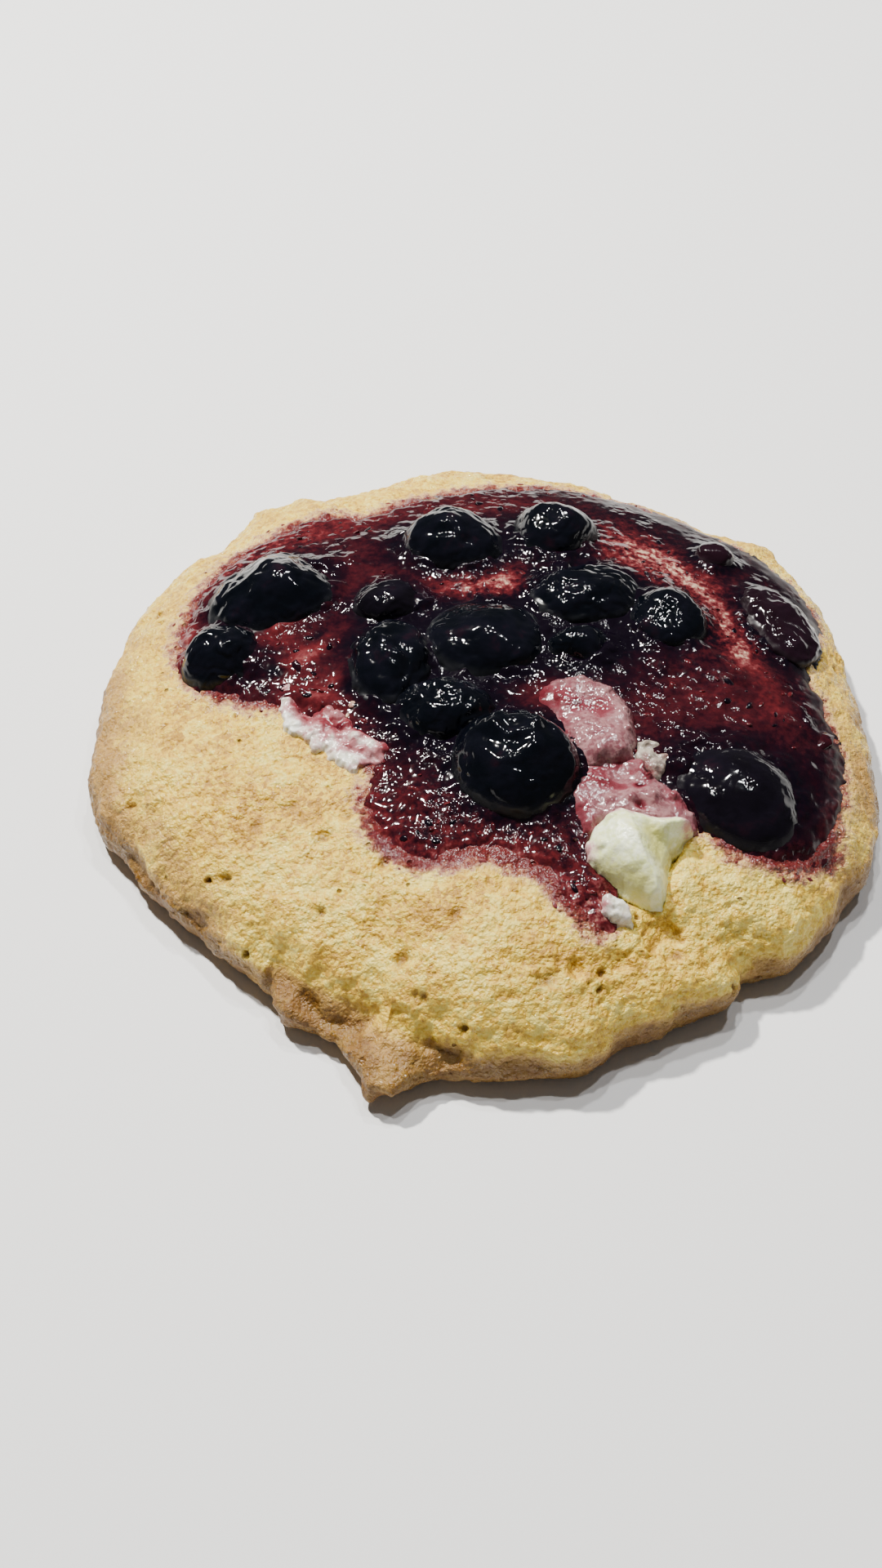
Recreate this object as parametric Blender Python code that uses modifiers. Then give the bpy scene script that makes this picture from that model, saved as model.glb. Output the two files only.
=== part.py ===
# Blueberry cheesecake cookie, about 95 mm across and 20 mm high: one thick soft-baked cookie
# with a jam layer baked into its top, whole cooked blueberries and torn lumps of cream cheese.
# Units are metres and +Z is up. The cookie is drawn about its own centre and then moved, so that
# the middle of its box stands on the origin. Angles run from +X towards +Y, in degrees.

import math

import bmesh
import bpy
import numpy as np
from mathutils import Vector, noise

MM = 0.001
GAP = 0.35 * MM              # air between two pieces that touch
SOCKET_MARGIN = 0.42 * MM    # a socket's corners stand off further, for its flats to clear by the gap
UP = Vector((0.0, 0.0, 1.0))
SHARP_ANGLE = 50.0           # degrees; edges sharper than this shade as edges
MERGE_DISTANCE = 0.01 * MM   # turned points nearer than this are one point

# Dough
EDGE_RADIUS = 46.8 * MM      # plan radius before the lobes are added
CROWN_HEIGHT = 15.0 * MM
WIDEST_HEIGHT = 3.5 * MM     # the edge is widest a little above the base
FOOT_SHARE = 0.955           # radius of the flat base, as a share of the edge's
DOME_FALL = 3.0              # how late the top starts to fall towards the edge
DOME_SHOULDER = 1.0 / 2.2    # how round the shoulder is
DOUGH_SIDES = 104
DOME_RINGS = 18
FOOT_RINGS = 3
NUB_FADE = 7                 # nubs and flaps stand out at the edge and are gone on top
SHARE_ROUNDS = 8             # rounds in which a point's share of the radius settles
SLOPE_STEP = 0.5 * MM        # the dome's slope is taken over this distance either way
RELIEF_FADE = 40             # the top's relief ends just before the edge
EDGE_WAVES = (7.5 * MM, 0.7 * MM)

# Lobes of the plan: angle, half width in degrees, push outwards. The whole side follows the
# broad ones and the nubs, while the flaps are thin dough that has spread round the dome's foot.
BROAD_LOBES = (
    (30.4, 11.9, 2.6 * MM),
    (149.7, 21.6, 1.6 * MM),
    (191.1, 8.1, 1.2 * MM),
    (228.8, 23.7, -4.8 * MM),
    (300.1, 18.0, -2.5 * MM),
    (338.8, 19.1, 1.6 * MM),
    (250.0, 11.0, -3.6 * MM),
)
NUBS = (
    (41.5, 5.1, 2.7 * MM),
    (65.6, 3.9, -0.9 * MM),
    (93.4, 8.5, 0.9 * MM),
    (109.9, 6.7, -0.8 * MM),
    (119.0, 2.6, 1.5 * MM),
    (126.0, 4.8, 2.6 * MM),
    (269.8, 8.1, -0.6 * MM),
)
FLAPS = (
    (239.0, 4.4, 1.8 * MM),
    (250.0, 11.0, 3.6 * MM),
    (256.0, 5.2, 3.6 * MM),
)
FLAP_RISE = 1.7 * MM         # how far a flap's back stands above the widest ring
FLAP_SPREAD = 3.0 * MM       # a flap this wide has its full rise

# Creases in the dough: half width, depth, and the points they run through
CREASES = (
    (1.7 * MM, 1.8 * MM, ((-24.9, -30.8), (-22.1, -34.7), (-17.8, -38.4), (-14.7, -39.6))),
    (1.5 * MM, 1.3 * MM, ((-14.7, -39.6), (-11.7, -39.9), (-7.6, -42.4), (-2.5, -44.0))),
    (1.8 * MM, 0.9 * MM, ((24.6, -29.5), (26.6, -34.5))),
    (2.2 * MM, 0.8 * MM, ((-44.0, -2.0), (-41.0, -13.0), (-37.5, -20.5), (-32.3, -25.5))),
    (2.6 * MM, 0.6 * MM, ((-24.0, -9.0), (-16.0, -15.5), (-9.5, -19.0))),
    (2.0 * MM, 0.6 * MM, ((20.5, -34.0), (31.0, -28.0), (40.5, -20.5))),
)
# Dents and, with a negative depth, swellings: x, y, half width, depth
DENTS = (
    (19.6, -32.6, 2.4, 1.1),
    (9.7, -37.1, 1.9, 0.7),
    (-18.3, -20.4, 1.6, 0.5),
    (-29.3, -23.9, 1.6, 0.5),
    (-9.4, -35.3, 1.8, 0.5),
    (-28.5, -13.0, 7.0, -0.5),
    (2.0, -32.0, 6.0, -0.5),
    (32.5, -29.0, 5.0, -0.4),
)
DOUGH_WAVES = ((13.0 * MM, 0.55 * MM), (5.5 * MM, 0.22 * MM))

# Jam: a pool about its own middle, its edge given by angle and reach
JAM_MIDDLE = (3.0 * MM, 5.0 * MM)
JAM_REACH = {
    5: 36.6, 16: 40.9, 30: 40.3, 41: 38.2, 53: 37.4, 65: 36.6, 77: 35.0, 90: 33.8, 101: 32.8,
    114: 32.4, 124: 32.2, 130: 36.2, 138: 37.8, 150: 39.9, 167: 40.3, 175: 39.6, 181: 37.4,
    187: 34.2, 191: 31.0, 196: 26.2, 204: 23.3, 216: 21.4, 226: 22.2, 234: 27.2, 248: 31.0,
    263: 28.2, 272: 29.0, 279: 32.4, 284: 38.4, 288: 33.0, 292: 26.0, 302: 25.8, 309: 28.2,
    314: 35.6, 319: 42.6, 326: 43.9, 338: 42.2, 351: 39.0,
}
JAM_SIDES = 72
JAM_RINGS = 9
JAM_RING_CROWDING = 1.25     # over 1, the rings lie closer towards the edge
JAM_OUTLINE_POINTS = 240     # points from which the distance to the jam's edge is taken
JAM_EDGE_THICKNESS = 0.45 * MM
JAM_SWELL = 0.5 * MM         # how much the jam stands up inside its edge
JAM_SWELL_WIDTH = 4.0 * MM
JAM_WAVES = (4.6 * MM, 0.3 * MM)
WELL_DEPTH = 3.0 * MM        # hollow in the dough that the jam fills
WELL_SLOPE = 10.0 * MM
WELL_MARGIN = 0.15 * MM      # for the flats of the two meshes

# Berries: x, y, width, depth, turn in degrees, rise above the jam, peak on top, all else in mm
BERRIES = (
    (-25.8, 16.0, 13.4, 10.8, 20, 4.2, 0.0),
    (-31.2, 6.3, 8.4, 7.2, 20, 3.5, 0.0),
    (-11.6, 13.7, 6.9, 5.6, 0, 2.5, 0.0),
    (-3.7, 24.7, 11.2, 8.2, -12, 3.9, 0.8),
    (9.2, 26.6, 9.2, 8.4, 0, 4.2, 0.0),
    (12.3, 14.9, 12.0, 6.8, 8, 2.5, 0.0),
    (22.4, 11.1, 8.6, 7.2, -10, 3.2, 0.0),
    (0.7, 7.3, 12.8, 9.2, 0, 3.4, 0.0),
    (-10.6, 4.1, 8.0, 9.6, 0, 4.0, 0.3),
    (-5.2, -4.3, 9.8, 7.0, -15, 3.0, 0.0),
    (3.4, -12.3, 12.6, 12.2, 0, 4.7, 0.3),
    (28.9, -15.8, 13.2, 10.8, -38, 3.5, 0.0),
    (29.3, 24.4, 4.1, 3.6, 0, 1.8, 0.0),
    (37.2, 12.7, 8.6, 8.0, -30, 2.0, 0.0),
    (11.6, 6.6, 6.0, 4.0, 0, 1.9, 0.0),
)
BERRY_SIDES = 12
BERRY_RINGS = 7
BERRY_SINK = 2.0 * MM
BERRY_FULLNESS = 0.92        # under 1, the shoulder is squarer than an ellipsoid's
BERRY_UNEVEN = 0.07
BERRY_WATERLINE = 0.35 * MM  # the widest ring lies this far under the jam

# Cream cheese, in mm: place, rise, sink, fullness as above, and the outline's reach by angle
CHEESES = {
    "cheese_chunk": {
        "place": (16.6, -24.9), "rise": 4.0, "sink": 2.0, "fullness": 0.72, "sides": 18, "rings": 9,
        "reach": {
            0: 3.9, 30: 7.3, 46: 6.2, 72: 5.8, 100: 6.2, 135: 6.0, 165: 5.7, 200: 4.7, 232: 3.7,
            262: 4.8, 290: 6.2, 318: 4.4,
        },
    },
    "cheese_curd": {
        "place": (-16.9, -6.0), "rise": 1.6, "sink": 1.3, "fullness": 0.85, "sides": 20, "rings": 6,
        "reach": {
            0: 4.4, 60: 2.9, 100: 2.9, 130: 5.0, 146: 9.4, 160: 6.2, 200: 3.4, 240: 3.0, 285: 3.4,
            312: 5.4, 328: 7.4, 342: 6.9,
        },
    },
    "cheese_mound": {
        "place": (13.2, -4.7), "rise": 2.0, "sink": 1.9, "fullness": 0.8, "sides": 16, "rings": 7,
        "reach": {0: 4.6, 45: 4.9, 88: 5.9, 125: 6.2, 160: 6.0, 200: 4.0, 245: 5.8, 285: 6.2, 320: 5.4},
    },
    "cheese_lump": {
        "place": (16.4, -14.9), "rise": 1.6, "sink": 1.6, "fullness": 0.8, "sides": 14, "rings": 6,
        "reach": {0: 4.6, 50: 3.0, 90: 2.5, 140: 3.6, 180: 4.6, 230: 3.0, 270: 2.6, 320: 3.6},
    },
    "cheese_fleck": {
        "place": (20.6, -9.8), "rise": 0.9, "sink": 1.0, "fullness": 0.85, "sides": 10, "rings": 5,
        "reach": {0: 1.7, 90: 2.0, 180: 1.5, 250: 1.8},
    },
    "cheese_crumb": {
        "place": (13.9, -31.5), "rise": 1.0, "sink": 0.9, "fullness": 0.85, "sides": 10, "rings": 5,
        "reach": {0: 1.4, 80: 1.5, 180: 1.2, 260: 1.3},
    },
}
CHEESE_UNEVEN = 0.10

# Unevenness of the lumps: how fine it is, and a step in the noise that makes each its own
UNEVEN_FINENESS = 1.3
UNEVEN_STEP = 2.7

# Colours: red, green, blue, roughness
DOUGH_LOOK = (0.62, 0.44, 0.21, 0.72)
JAM_LOOK = (0.14, 0.008, 0.022, 0.16)
BERRY_LOOK = (0.010, 0.010, 0.024, 0.12)
CHEESE_LOOK = (0.82, 0.81, 0.62, 0.42)
STAINED_LOOK = (0.55, 0.20, 0.26, 0.35)
STAINED_CHEESES = ("cheese_mound", "cheese_lump")


def smooth(value):
    value = max(0.0, min(1.0, value))
    return 0.5 - 0.5 * math.cos(math.pi * value)


def ring_curve(stations):
    # a closed curve of reach over angle, smooth through the stations: a cubic between each two
    angles = sorted(stations)
    count = len(angles)

    def reach(degrees):
        degrees = degrees % 360.0
        after = next((i for i, angle in enumerate(angles) if angle > degrees), 0)
        steps = [(after + offset) % count for offset in (-2, -1, 0, 1)]
        values = [stations[angles[step]] for step in steps]
        places = [float(angles[step]) for step in steps]
        places[1] -= 360.0 if places[1] > degrees else 0.0
        places[0] -= 360.0 * math.ceil((places[0] - places[1]) / 360.0)
        places[2] += 360.0 if places[2] <= degrees else 0.0
        places[3] += 360.0 * math.ceil((places[2] - places[3]) / 360.0)
        span = places[2] - places[1]
        leave = (values[2] - values[0]) / (places[2] - places[0]) * span
        arrive = (values[3] - values[1]) / (places[3] - places[1]) * span
        t = (degrees - places[1]) / span
        ends = (2 * t ** 3 - 3 * t ** 2 + 1) * values[1] + (3 * t ** 2 - 2 * t ** 3) * values[2]
        slopes = (t ** 3 - 2 * t ** 2 + t) * leave + (t ** 3 - t ** 2) * arrive
        return ends + slopes

    return reach


def lobe_push(lobes, degrees):
    push = 0.0
    for angle, half_width, size in lobes:
        turn = (degrees - angle + 180.0) % 360.0 - 180.0
        push += size * math.exp(-(turn / half_width) ** 2)
    return push


def waves(x, y, z, size):
    length, height = size
    return height * noise.noise(Vector((x, y, z)) / length)


def dough_radius(share, degrees):
    # share runs from 0 on the axis to 1 at the edge
    broad = EDGE_RADIUS + lobe_push(BROAD_LOBES, degrees)
    thin = lobe_push(NUBS, degrees) + lobe_push(FLAPS, degrees)
    return share * broad + share ** NUB_FADE * thin


def dome_height(x, y):
    degrees = math.degrees(math.atan2(y, x))
    broad = EDGE_RADIUS + lobe_push(BROAD_LOBES, degrees)
    nub = lobe_push(NUBS, degrees)
    share = math.hypot(x, y) / broad
    for _ in range(SHARE_ROUNDS):
        share = min(1.0, (math.hypot(x, y) - share ** NUB_FADE * nub) / broad)
    rise = (1.0 - share ** DOME_FALL) ** DOME_SHOULDER
    return WIDEST_HEIGHT + (CROWN_HEIGHT - WIDEST_HEIGHT) * rise


def dome_normal(x, y):
    run = 2.0 * SLOPE_STEP
    slope_x = (dome_height(x + SLOPE_STEP, y) - dome_height(x - SLOPE_STEP, y)) / run
    slope_y = (dome_height(x, y + SLOPE_STEP) - dome_height(x, y - SLOPE_STEP)) / run
    return Vector((-slope_x, -slope_y, 1.0)).normalized()


# The jam's plan
jam_reach = ring_curve(JAM_REACH)


def jam_point(degrees, share=1.0):
    reach = share * jam_reach(degrees) * MM
    angle = math.radians(degrees)
    return JAM_MIDDLE[0] + reach * math.cos(angle), JAM_MIDDLE[1] + reach * math.sin(angle)


JAM_OUTLINE = np.array(
    [jam_point(360.0 * step / JAM_OUTLINE_POINTS) for step in range(JAM_OUTLINE_POINTS)]
)
JAM_RUNS = np.roll(JAM_OUTLINE, -1, axis=0) - JAM_OUTLINE


def jam_inset(x, y):
    # distance to the jam's edge, positive inside the jam
    away = np.array((x, y)) - JAM_OUTLINE
    along = np.clip((away * JAM_RUNS).sum(axis=1) / (JAM_RUNS ** 2).sum(axis=1), 0.0, 1.0)
    nearest = np.hypot(*(away - JAM_RUNS * along[:, None]).T).min()
    offset_x = x - JAM_MIDDLE[0]
    offset_y = y - JAM_MIDDLE[1]
    reach = jam_reach(math.degrees(math.atan2(offset_y, offset_x))) * MM
    return nearest if math.hypot(offset_x, offset_y) < reach else -nearest


def flap_height(share, degrees):
    rise = FLAP_RISE * smooth(lobe_push(FLAPS, degrees) / FLAP_SPREAD)
    return WIDEST_HEIGHT + rise * (1.0 - share ** RELIEF_FADE)


def run_distance(x, y, points):
    here = Vector((x, y))
    nearest = math.inf
    for start, end in zip(points, points[1:]):
        start = Vector(start) * MM
        run = Vector(end) * MM - start
        along = max(0.0, min(1.0, (here - start).dot(run) / run.length_squared))
        nearest = min(nearest, (here - start - run * along).length)
    return nearest


def dough_relief(x, y):
    relief = 0.0
    for half_width, depth, points in CREASES:
        relief -= depth * math.exp(-(run_distance(x, y, points) / half_width) ** 2)
    for dent_x, dent_y, half_width, depth in DENTS:
        away = math.hypot(x / MM - dent_x, y / MM - dent_y)
        relief -= depth * MM * math.exp(-(away / half_width) ** 2)
    for size in DOUGH_WAVES:
        relief += waves(x, y, 0.0, size)
    return relief


def well_floor(x, y):
    return dome_height(x, y) - WELL_DEPTH * smooth(jam_inset(x, y) / WELL_SLOPE)


def jam_under(x, y):
    return well_floor(x, y) + (GAP + WELL_MARGIN) / dome_normal(x, y).z


def jam_top(x, y):
    swell = smooth(jam_inset(x, y) / JAM_SWELL_WIDTH)
    bumps = swell * waves(x, y, 0.0, JAM_WAVES)
    edge = (GAP + JAM_EDGE_THICKNESS) / dome_normal(x, y).z
    return dome_height(x, y) + edge + swell * JAM_SWELL + bumps


def make_material(name, look):
    material = bpy.data.materials.new(name)
    material.use_nodes = True
    shader = material.node_tree.nodes["Principled BSDF"]
    shader.inputs["Base Color"].default_value = (look[0], look[1], look[2], 1.0)
    shader.inputs["Roughness"].default_value = look[3]
    shader.inputs["Metallic"].default_value = 0.0
    material.diffuse_color = (look[0], look[1], look[2], 1.0)
    return material


def place_in(collection, piece):
    for holder in piece.users_collection:
        holder.objects.unlink(piece)
    collection.objects.link(piece)


def evaluated_mesh(piece):
    graph = bpy.context.evaluated_depsgraph_get()
    return bpy.data.meshes.new_from_object(piece.evaluated_get(graph))


def turned_solid(name, profile, sides):
    # profile points at +X, from the top of the axis round to its foot
    mesh = bpy.data.meshes.new(name)
    points = [(radius, 0.0, height) for radius, height in profile]
    mesh.from_pydata(points, [(i, i + 1) for i in range(len(points) - 1)], [])
    piece = bpy.data.objects.new(name, mesh)
    bpy.context.scene.collection.objects.link(piece)
    screw = piece.modifiers.new("turn", "SCREW")
    screw.steps = sides
    screw.render_steps = sides
    screw.use_merge_vertices = True
    screw.merge_threshold = MERGE_DISTANCE
    piece.data = evaluated_mesh(piece)
    piece.modifiers.clear()
    bpy.data.meshes.remove(mesh)
    piece.data.name = name
    return piece


def split_into_triangles(piece):
    mesh = bmesh.new()
    mesh.from_mesh(piece.data)
    bmesh.ops.triangulate(mesh, faces=mesh.faces)
    mesh.to_mesh(piece.data)
    mesh.free()


def make_dough():
    # heights here only number the rings; each point's place follows from its share and angle
    shares = [math.sin(0.5 * math.pi * ring / DOME_RINGS) for ring in range(DOME_RINGS + 1)]
    top = [(share, 1.0) for share in shares]
    foot = []
    for ring in range(1, FOOT_RINGS + 1):
        angle = 0.5 * math.pi * ring / FOOT_RINGS
        foot.append((FOOT_SHARE + (1.0 - FOOT_SHARE) * math.cos(angle), 1.0 - math.sin(angle)))
    dough = turned_solid("cookie", top + foot + [(0.0, 0.0)], DOUGH_SIDES)
    for point in dough.data.vertices:
        share = min(1.0, math.hypot(point.co.x, point.co.y))
        angle = math.atan2(point.co.y, point.co.x)
        level = point.co.z
        radius = dough_radius(share, math.degrees(angle))
        x = radius * math.cos(angle)
        y = radius * math.sin(angle)
        z = level * WIDEST_HEIGHT
        if level > 0.0:
            push = 1.0 + share ** NUB_FADE * waves(x, y, z, EDGE_WAVES) / EDGE_RADIUS
            x *= push
            y *= push
        if level == 1.0:
            bare = smooth(-jam_inset(x, y) / JAM_SWELL_WIDTH) * (1.0 - share ** RELIEF_FADE)
            z = max(well_floor(x, y), flap_height(share, math.degrees(angle)))
            z += bare * dough_relief(x, y)
        point.co = (x, y, z)
    split_into_triangles(dough)
    return dough


def make_jam():
    # the profile's height tells the upper skin, 1, from the lower one, 0
    shares = [1.0 - (1.0 - ring / JAM_RINGS) ** JAM_RING_CROWDING for ring in range(JAM_RINGS + 1)]
    upper = [(share, 1.0) for share in shares]
    lower = [(share, 0.0) for share in reversed(shares)]
    jam = turned_solid("jam", upper + lower, JAM_SIDES)
    for point in jam.data.vertices:
        share = min(1.0, math.hypot(point.co.x, point.co.y))
        degrees = math.degrees(math.atan2(point.co.y, point.co.x))
        x, y = jam_point(degrees, share)
        z = jam_top(x, y) if point.co.z > 0.5 else jam_under(x, y)
        point.co = (x, y, z)
    split_into_triangles(jam)
    return jam


def make_lump(name, shape, grow=0.0):
    # a rounded lump over its own outline, with its widest ring at its origin; grow is a margin
    bpy.ops.mesh.primitive_uv_sphere_add(segments=shape["sides"], ring_count=shape["rings"], radius=1.0)
    lump = bpy.context.object
    lump.name = name
    lump.data.name = name
    for point in lump.data.vertices:
        unit = point.co.copy()
        share = min(1.0, math.hypot(unit.x, unit.y))
        angle = math.atan2(unit.y, unit.x)
        sample = unit * UNEVEN_FINENESS + Vector((UNEVEN_STEP * shape["number"], 0.0, 0.0))
        uneven = 1.0 + shape["uneven"] * noise.noise(sample)
        spread = share ** shape["fullness"] * shape["reach"](math.degrees(angle)) * uneven
        lift = abs(unit.z) ** shape["fullness"]
        if unit.z > 0.0:
            height = lift * shape["rise"] * uneven + shape["peak"] * (1.0 - share) ** 2
        else:
            height = -lift * shape["sink"]
        point.co = (spread * math.cos(angle), spread * math.sin(angle), height)
    split_into_triangles(lump)
    outwards = [point.normal.copy() for point in lump.data.vertices]
    for point, normal in zip(lump.data.vertices, outwards):
        point.co += normal * grow
    x, y = shape["place"]
    lump.location = (x, y, shape["level"])
    lump.rotation_mode = "QUATERNION"
    lump.rotation_quaternion = UP.rotation_difference(dome_normal(x, y))
    return lump


def berry_shape(number, row):
    x, y, width, depth, turn, rise, peak = row

    def reach(degrees):
        angle = math.radians(degrees - turn)
        across = math.cos(angle) / (0.5 * width * MM)
        along = math.sin(angle) / (0.5 * depth * MM)
        return 1.0 / math.hypot(across, along)

    place = (x * MM, y * MM)
    return {
        "place": place,
        "level": jam_top(*place) - BERRY_WATERLINE,
        "reach": reach,
        "rise": rise * MM + BERRY_WATERLINE,
        "sink": BERRY_SINK - BERRY_WATERLINE,
        "peak": peak * MM,
        "fullness": BERRY_FULLNESS,
        "uneven": BERRY_UNEVEN,
        "number": number,
        "sides": BERRY_SIDES,
        "rings": BERRY_RINGS,
    }


def cheese_shape(number, name):
    given = CHEESES[name]
    curve = ring_curve(given["reach"])
    place = (given["place"][0] * MM, given["place"][1] * MM)
    on_jam = jam_inset(*place) > 0.0
    return {
        "place": place,
        "level": jam_top(*place) if on_jam else dome_height(*place),
        "reach": lambda degrees: curve(degrees) * MM,
        "rise": given["rise"] * MM,
        "sink": given["sink"] * MM,
        "peak": 0.0,
        "fullness": given["fullness"],
        "uneven": CHEESE_UNEVEN,
        "number": number,
        "sides": given["sides"],
        "rings": given["rings"],
    }


def keep_largest_body(piece):
    mesh = bmesh.new()
    mesh.from_mesh(piece.data)
    waiting = set(mesh.verts)
    bodies = []
    while waiting:
        body = {waiting.pop()}
        front = list(body)
        while front:
            for edge in front.pop().link_edges:
                for point in edge.verts:
                    if point in waiting:
                        waiting.discard(point)
                        body.add(point)
                        front.append(point)
        bodies.append(body)
    largest = max(bodies, key=len)
    scraps = [point for point in mesh.verts if point not in largest]
    bmesh.ops.delete(mesh, geom=scraps, context="VERTS")
    mesh.to_mesh(piece.data)
    mesh.free()


def carve(piece, cutters):
    cut = piece.modifiers.new("sockets", "BOOLEAN")
    cut.operation = "DIFFERENCE"
    cut.operand_type = "COLLECTION"
    cut.collection = cutters
    cut.solver = "EXACT"
    whole = piece.data
    piece.data = evaluated_mesh(piece)
    piece.modifiers.clear()
    bpy.data.meshes.remove(whole)
    piece.data.name = piece.name
    keep_largest_body(piece)
    split_into_triangles(piece)


def finish(piece, look):
    piece.data.materials.clear()
    piece.data.materials.append(make_material(piece.name + "_finish", look))
    piece.data.shade_smooth()
    piece.data.set_sharp_from_angle(angle=math.radians(SHARP_ANGLE))


def main():
    for old in list(bpy.data.objects):
        bpy.data.objects.remove(old)
    parts = bpy.data.collections.new("blueberry_cheesecake_cookie")
    cutters = bpy.data.collections.new("sockets")
    bpy.context.scene.collection.children.link(parts)
    bpy.context.scene.collection.children.link(cutters)

    shapes = {}
    for number, row in enumerate(BERRIES, start=1):
        shapes["berry_%d" % number] = berry_shape(number, row)
    for number, name in enumerate(CHEESES, start=len(BERRIES) + 1):
        shapes[name] = cheese_shape(number, name)
    for name, shape in shapes.items():
        lump = make_lump(name, shape)
        look = BERRY_LOOK
        if name in CHEESES:
            look = STAINED_LOOK if name in STAINED_CHEESES else CHEESE_LOOK
        finish(lump, look)
        place_in(parts, lump)
        socket = make_lump(name + "_socket", shape, grow=SOCKET_MARGIN)
        socket.hide_render = True
        socket.display_type = "WIRE"
        place_in(cutters, socket)

    dough = make_dough()
    jam = make_jam()
    for piece, look in ((dough, DOUGH_LOOK), (jam, JAM_LOOK)):
        carve(piece, cutters)
        finish(piece, look)
        place_in(parts, piece)

    # stand the box's middle on the origin
    xs = [point.co.x for point in dough.data.vertices]
    ys = [point.co.y for point in dough.data.vertices]
    origin = bpy.data.objects.new("cookie_frame", None)
    parts.objects.link(origin)
    for piece in list(parts.objects) + list(cutters.objects):
        if piece is not origin:
            piece.parent = origin
    origin.location = (-0.5 * (min(xs) + max(xs)), -0.5 * (min(ys) + max(ys)), 0.0)


main()
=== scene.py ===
import math
from functools import reduce

import bmesh
import bpy
import numpy as np
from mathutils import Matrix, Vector, geometry, noise
from mathutils.kdtree import KDTree


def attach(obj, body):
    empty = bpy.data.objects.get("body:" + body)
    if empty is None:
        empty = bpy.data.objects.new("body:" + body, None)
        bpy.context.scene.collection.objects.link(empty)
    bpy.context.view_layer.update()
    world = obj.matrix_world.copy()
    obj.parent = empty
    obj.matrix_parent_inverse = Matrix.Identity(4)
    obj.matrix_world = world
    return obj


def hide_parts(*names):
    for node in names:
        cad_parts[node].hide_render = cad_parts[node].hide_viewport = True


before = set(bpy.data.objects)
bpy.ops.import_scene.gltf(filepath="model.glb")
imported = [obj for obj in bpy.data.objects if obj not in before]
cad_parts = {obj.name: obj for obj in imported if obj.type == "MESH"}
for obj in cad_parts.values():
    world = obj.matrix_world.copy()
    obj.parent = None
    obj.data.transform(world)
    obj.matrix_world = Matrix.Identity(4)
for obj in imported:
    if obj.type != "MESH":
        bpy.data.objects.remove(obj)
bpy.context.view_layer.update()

mm = 0.001
farOff = 99.0   # in mm, farther than anything on the cookie

# A blueberry cheesecake cookie. Places and sizes in these settings are in mm about the cookie's own
# centre, which lies at cookieShift in the frame. Angles run from +X towards +Y, in degrees.
cookieShift = (-0.076, -0.074, 0.0)

dome = {
    "edge": 46.8, "crown": 15.0, "widest": 3.5, "fall": 3.0, "shoulder": 1 / 2.2,
    "nubFade": 7, "nubRounds": 8,
    # angle, half width, push outwards
    "lobes": (
        (30.4, 11.9, 2.6), (149.7, 21.6, 1.6), (191.1, 8.1, 1.2), (228.8, 23.7, -4.8),
        (300.1, 18.0, -2.5), (338.8, 19.1, 1.6), (250.0, 11.0, -3.6)),
    "nubs": (
        (41.5, 5.1, 2.7), (65.6, 3.9, -0.9), (93.4, 8.5, 0.9), (109.9, 6.7, -0.8),
        (119.0, 2.6, 1.5), (126.0, 4.8, 2.6), (269.8, 8.1, -0.6)),
}

jam = {
    "middle": (3.0, 5.0),
    # angle: reach of the jam's edge
    "reach": {
        5: 36.6, 16: 40.9, 30: 40.3, 41: 38.2, 53: 37.4, 65: 36.6, 77: 35.0, 90: 33.8, 101: 32.8,
        114: 32.4, 124: 32.2, 130: 36.2, 138: 37.8, 150: 39.9, 167: 40.3, 175: 39.6, 181: 37.4,
        187: 34.2, 191: 31.0, 196: 26.2, 204: 23.3, 216: 21.4, 226: 22.2, 234: 27.2, 248: 31.0,
        263: 28.2, 272: 29.0, 279: 32.4, 284: 38.4, 288: 33.0, 292: 26.0, 302: 25.8, 309: 28.2,
        314: 36.4, 319: 41.6, 326: 42.9, 338: 41.9, 351: 39.0},
    "rimPoints": 2880, "grid": 0.235, "overlap": 1.7, "skirt": 1.2,
    "box": (-42, -42, 49, 49), "farthest": 46,
    # how high the solid stands over the dough, and its swelling inside the edge
    "level": 0.85, "swell": 0.5, "swellReach": 4,
    # the jam ends in thick lobes round this angle, over this half width
    "thickAt": (23, 57),
}

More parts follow.
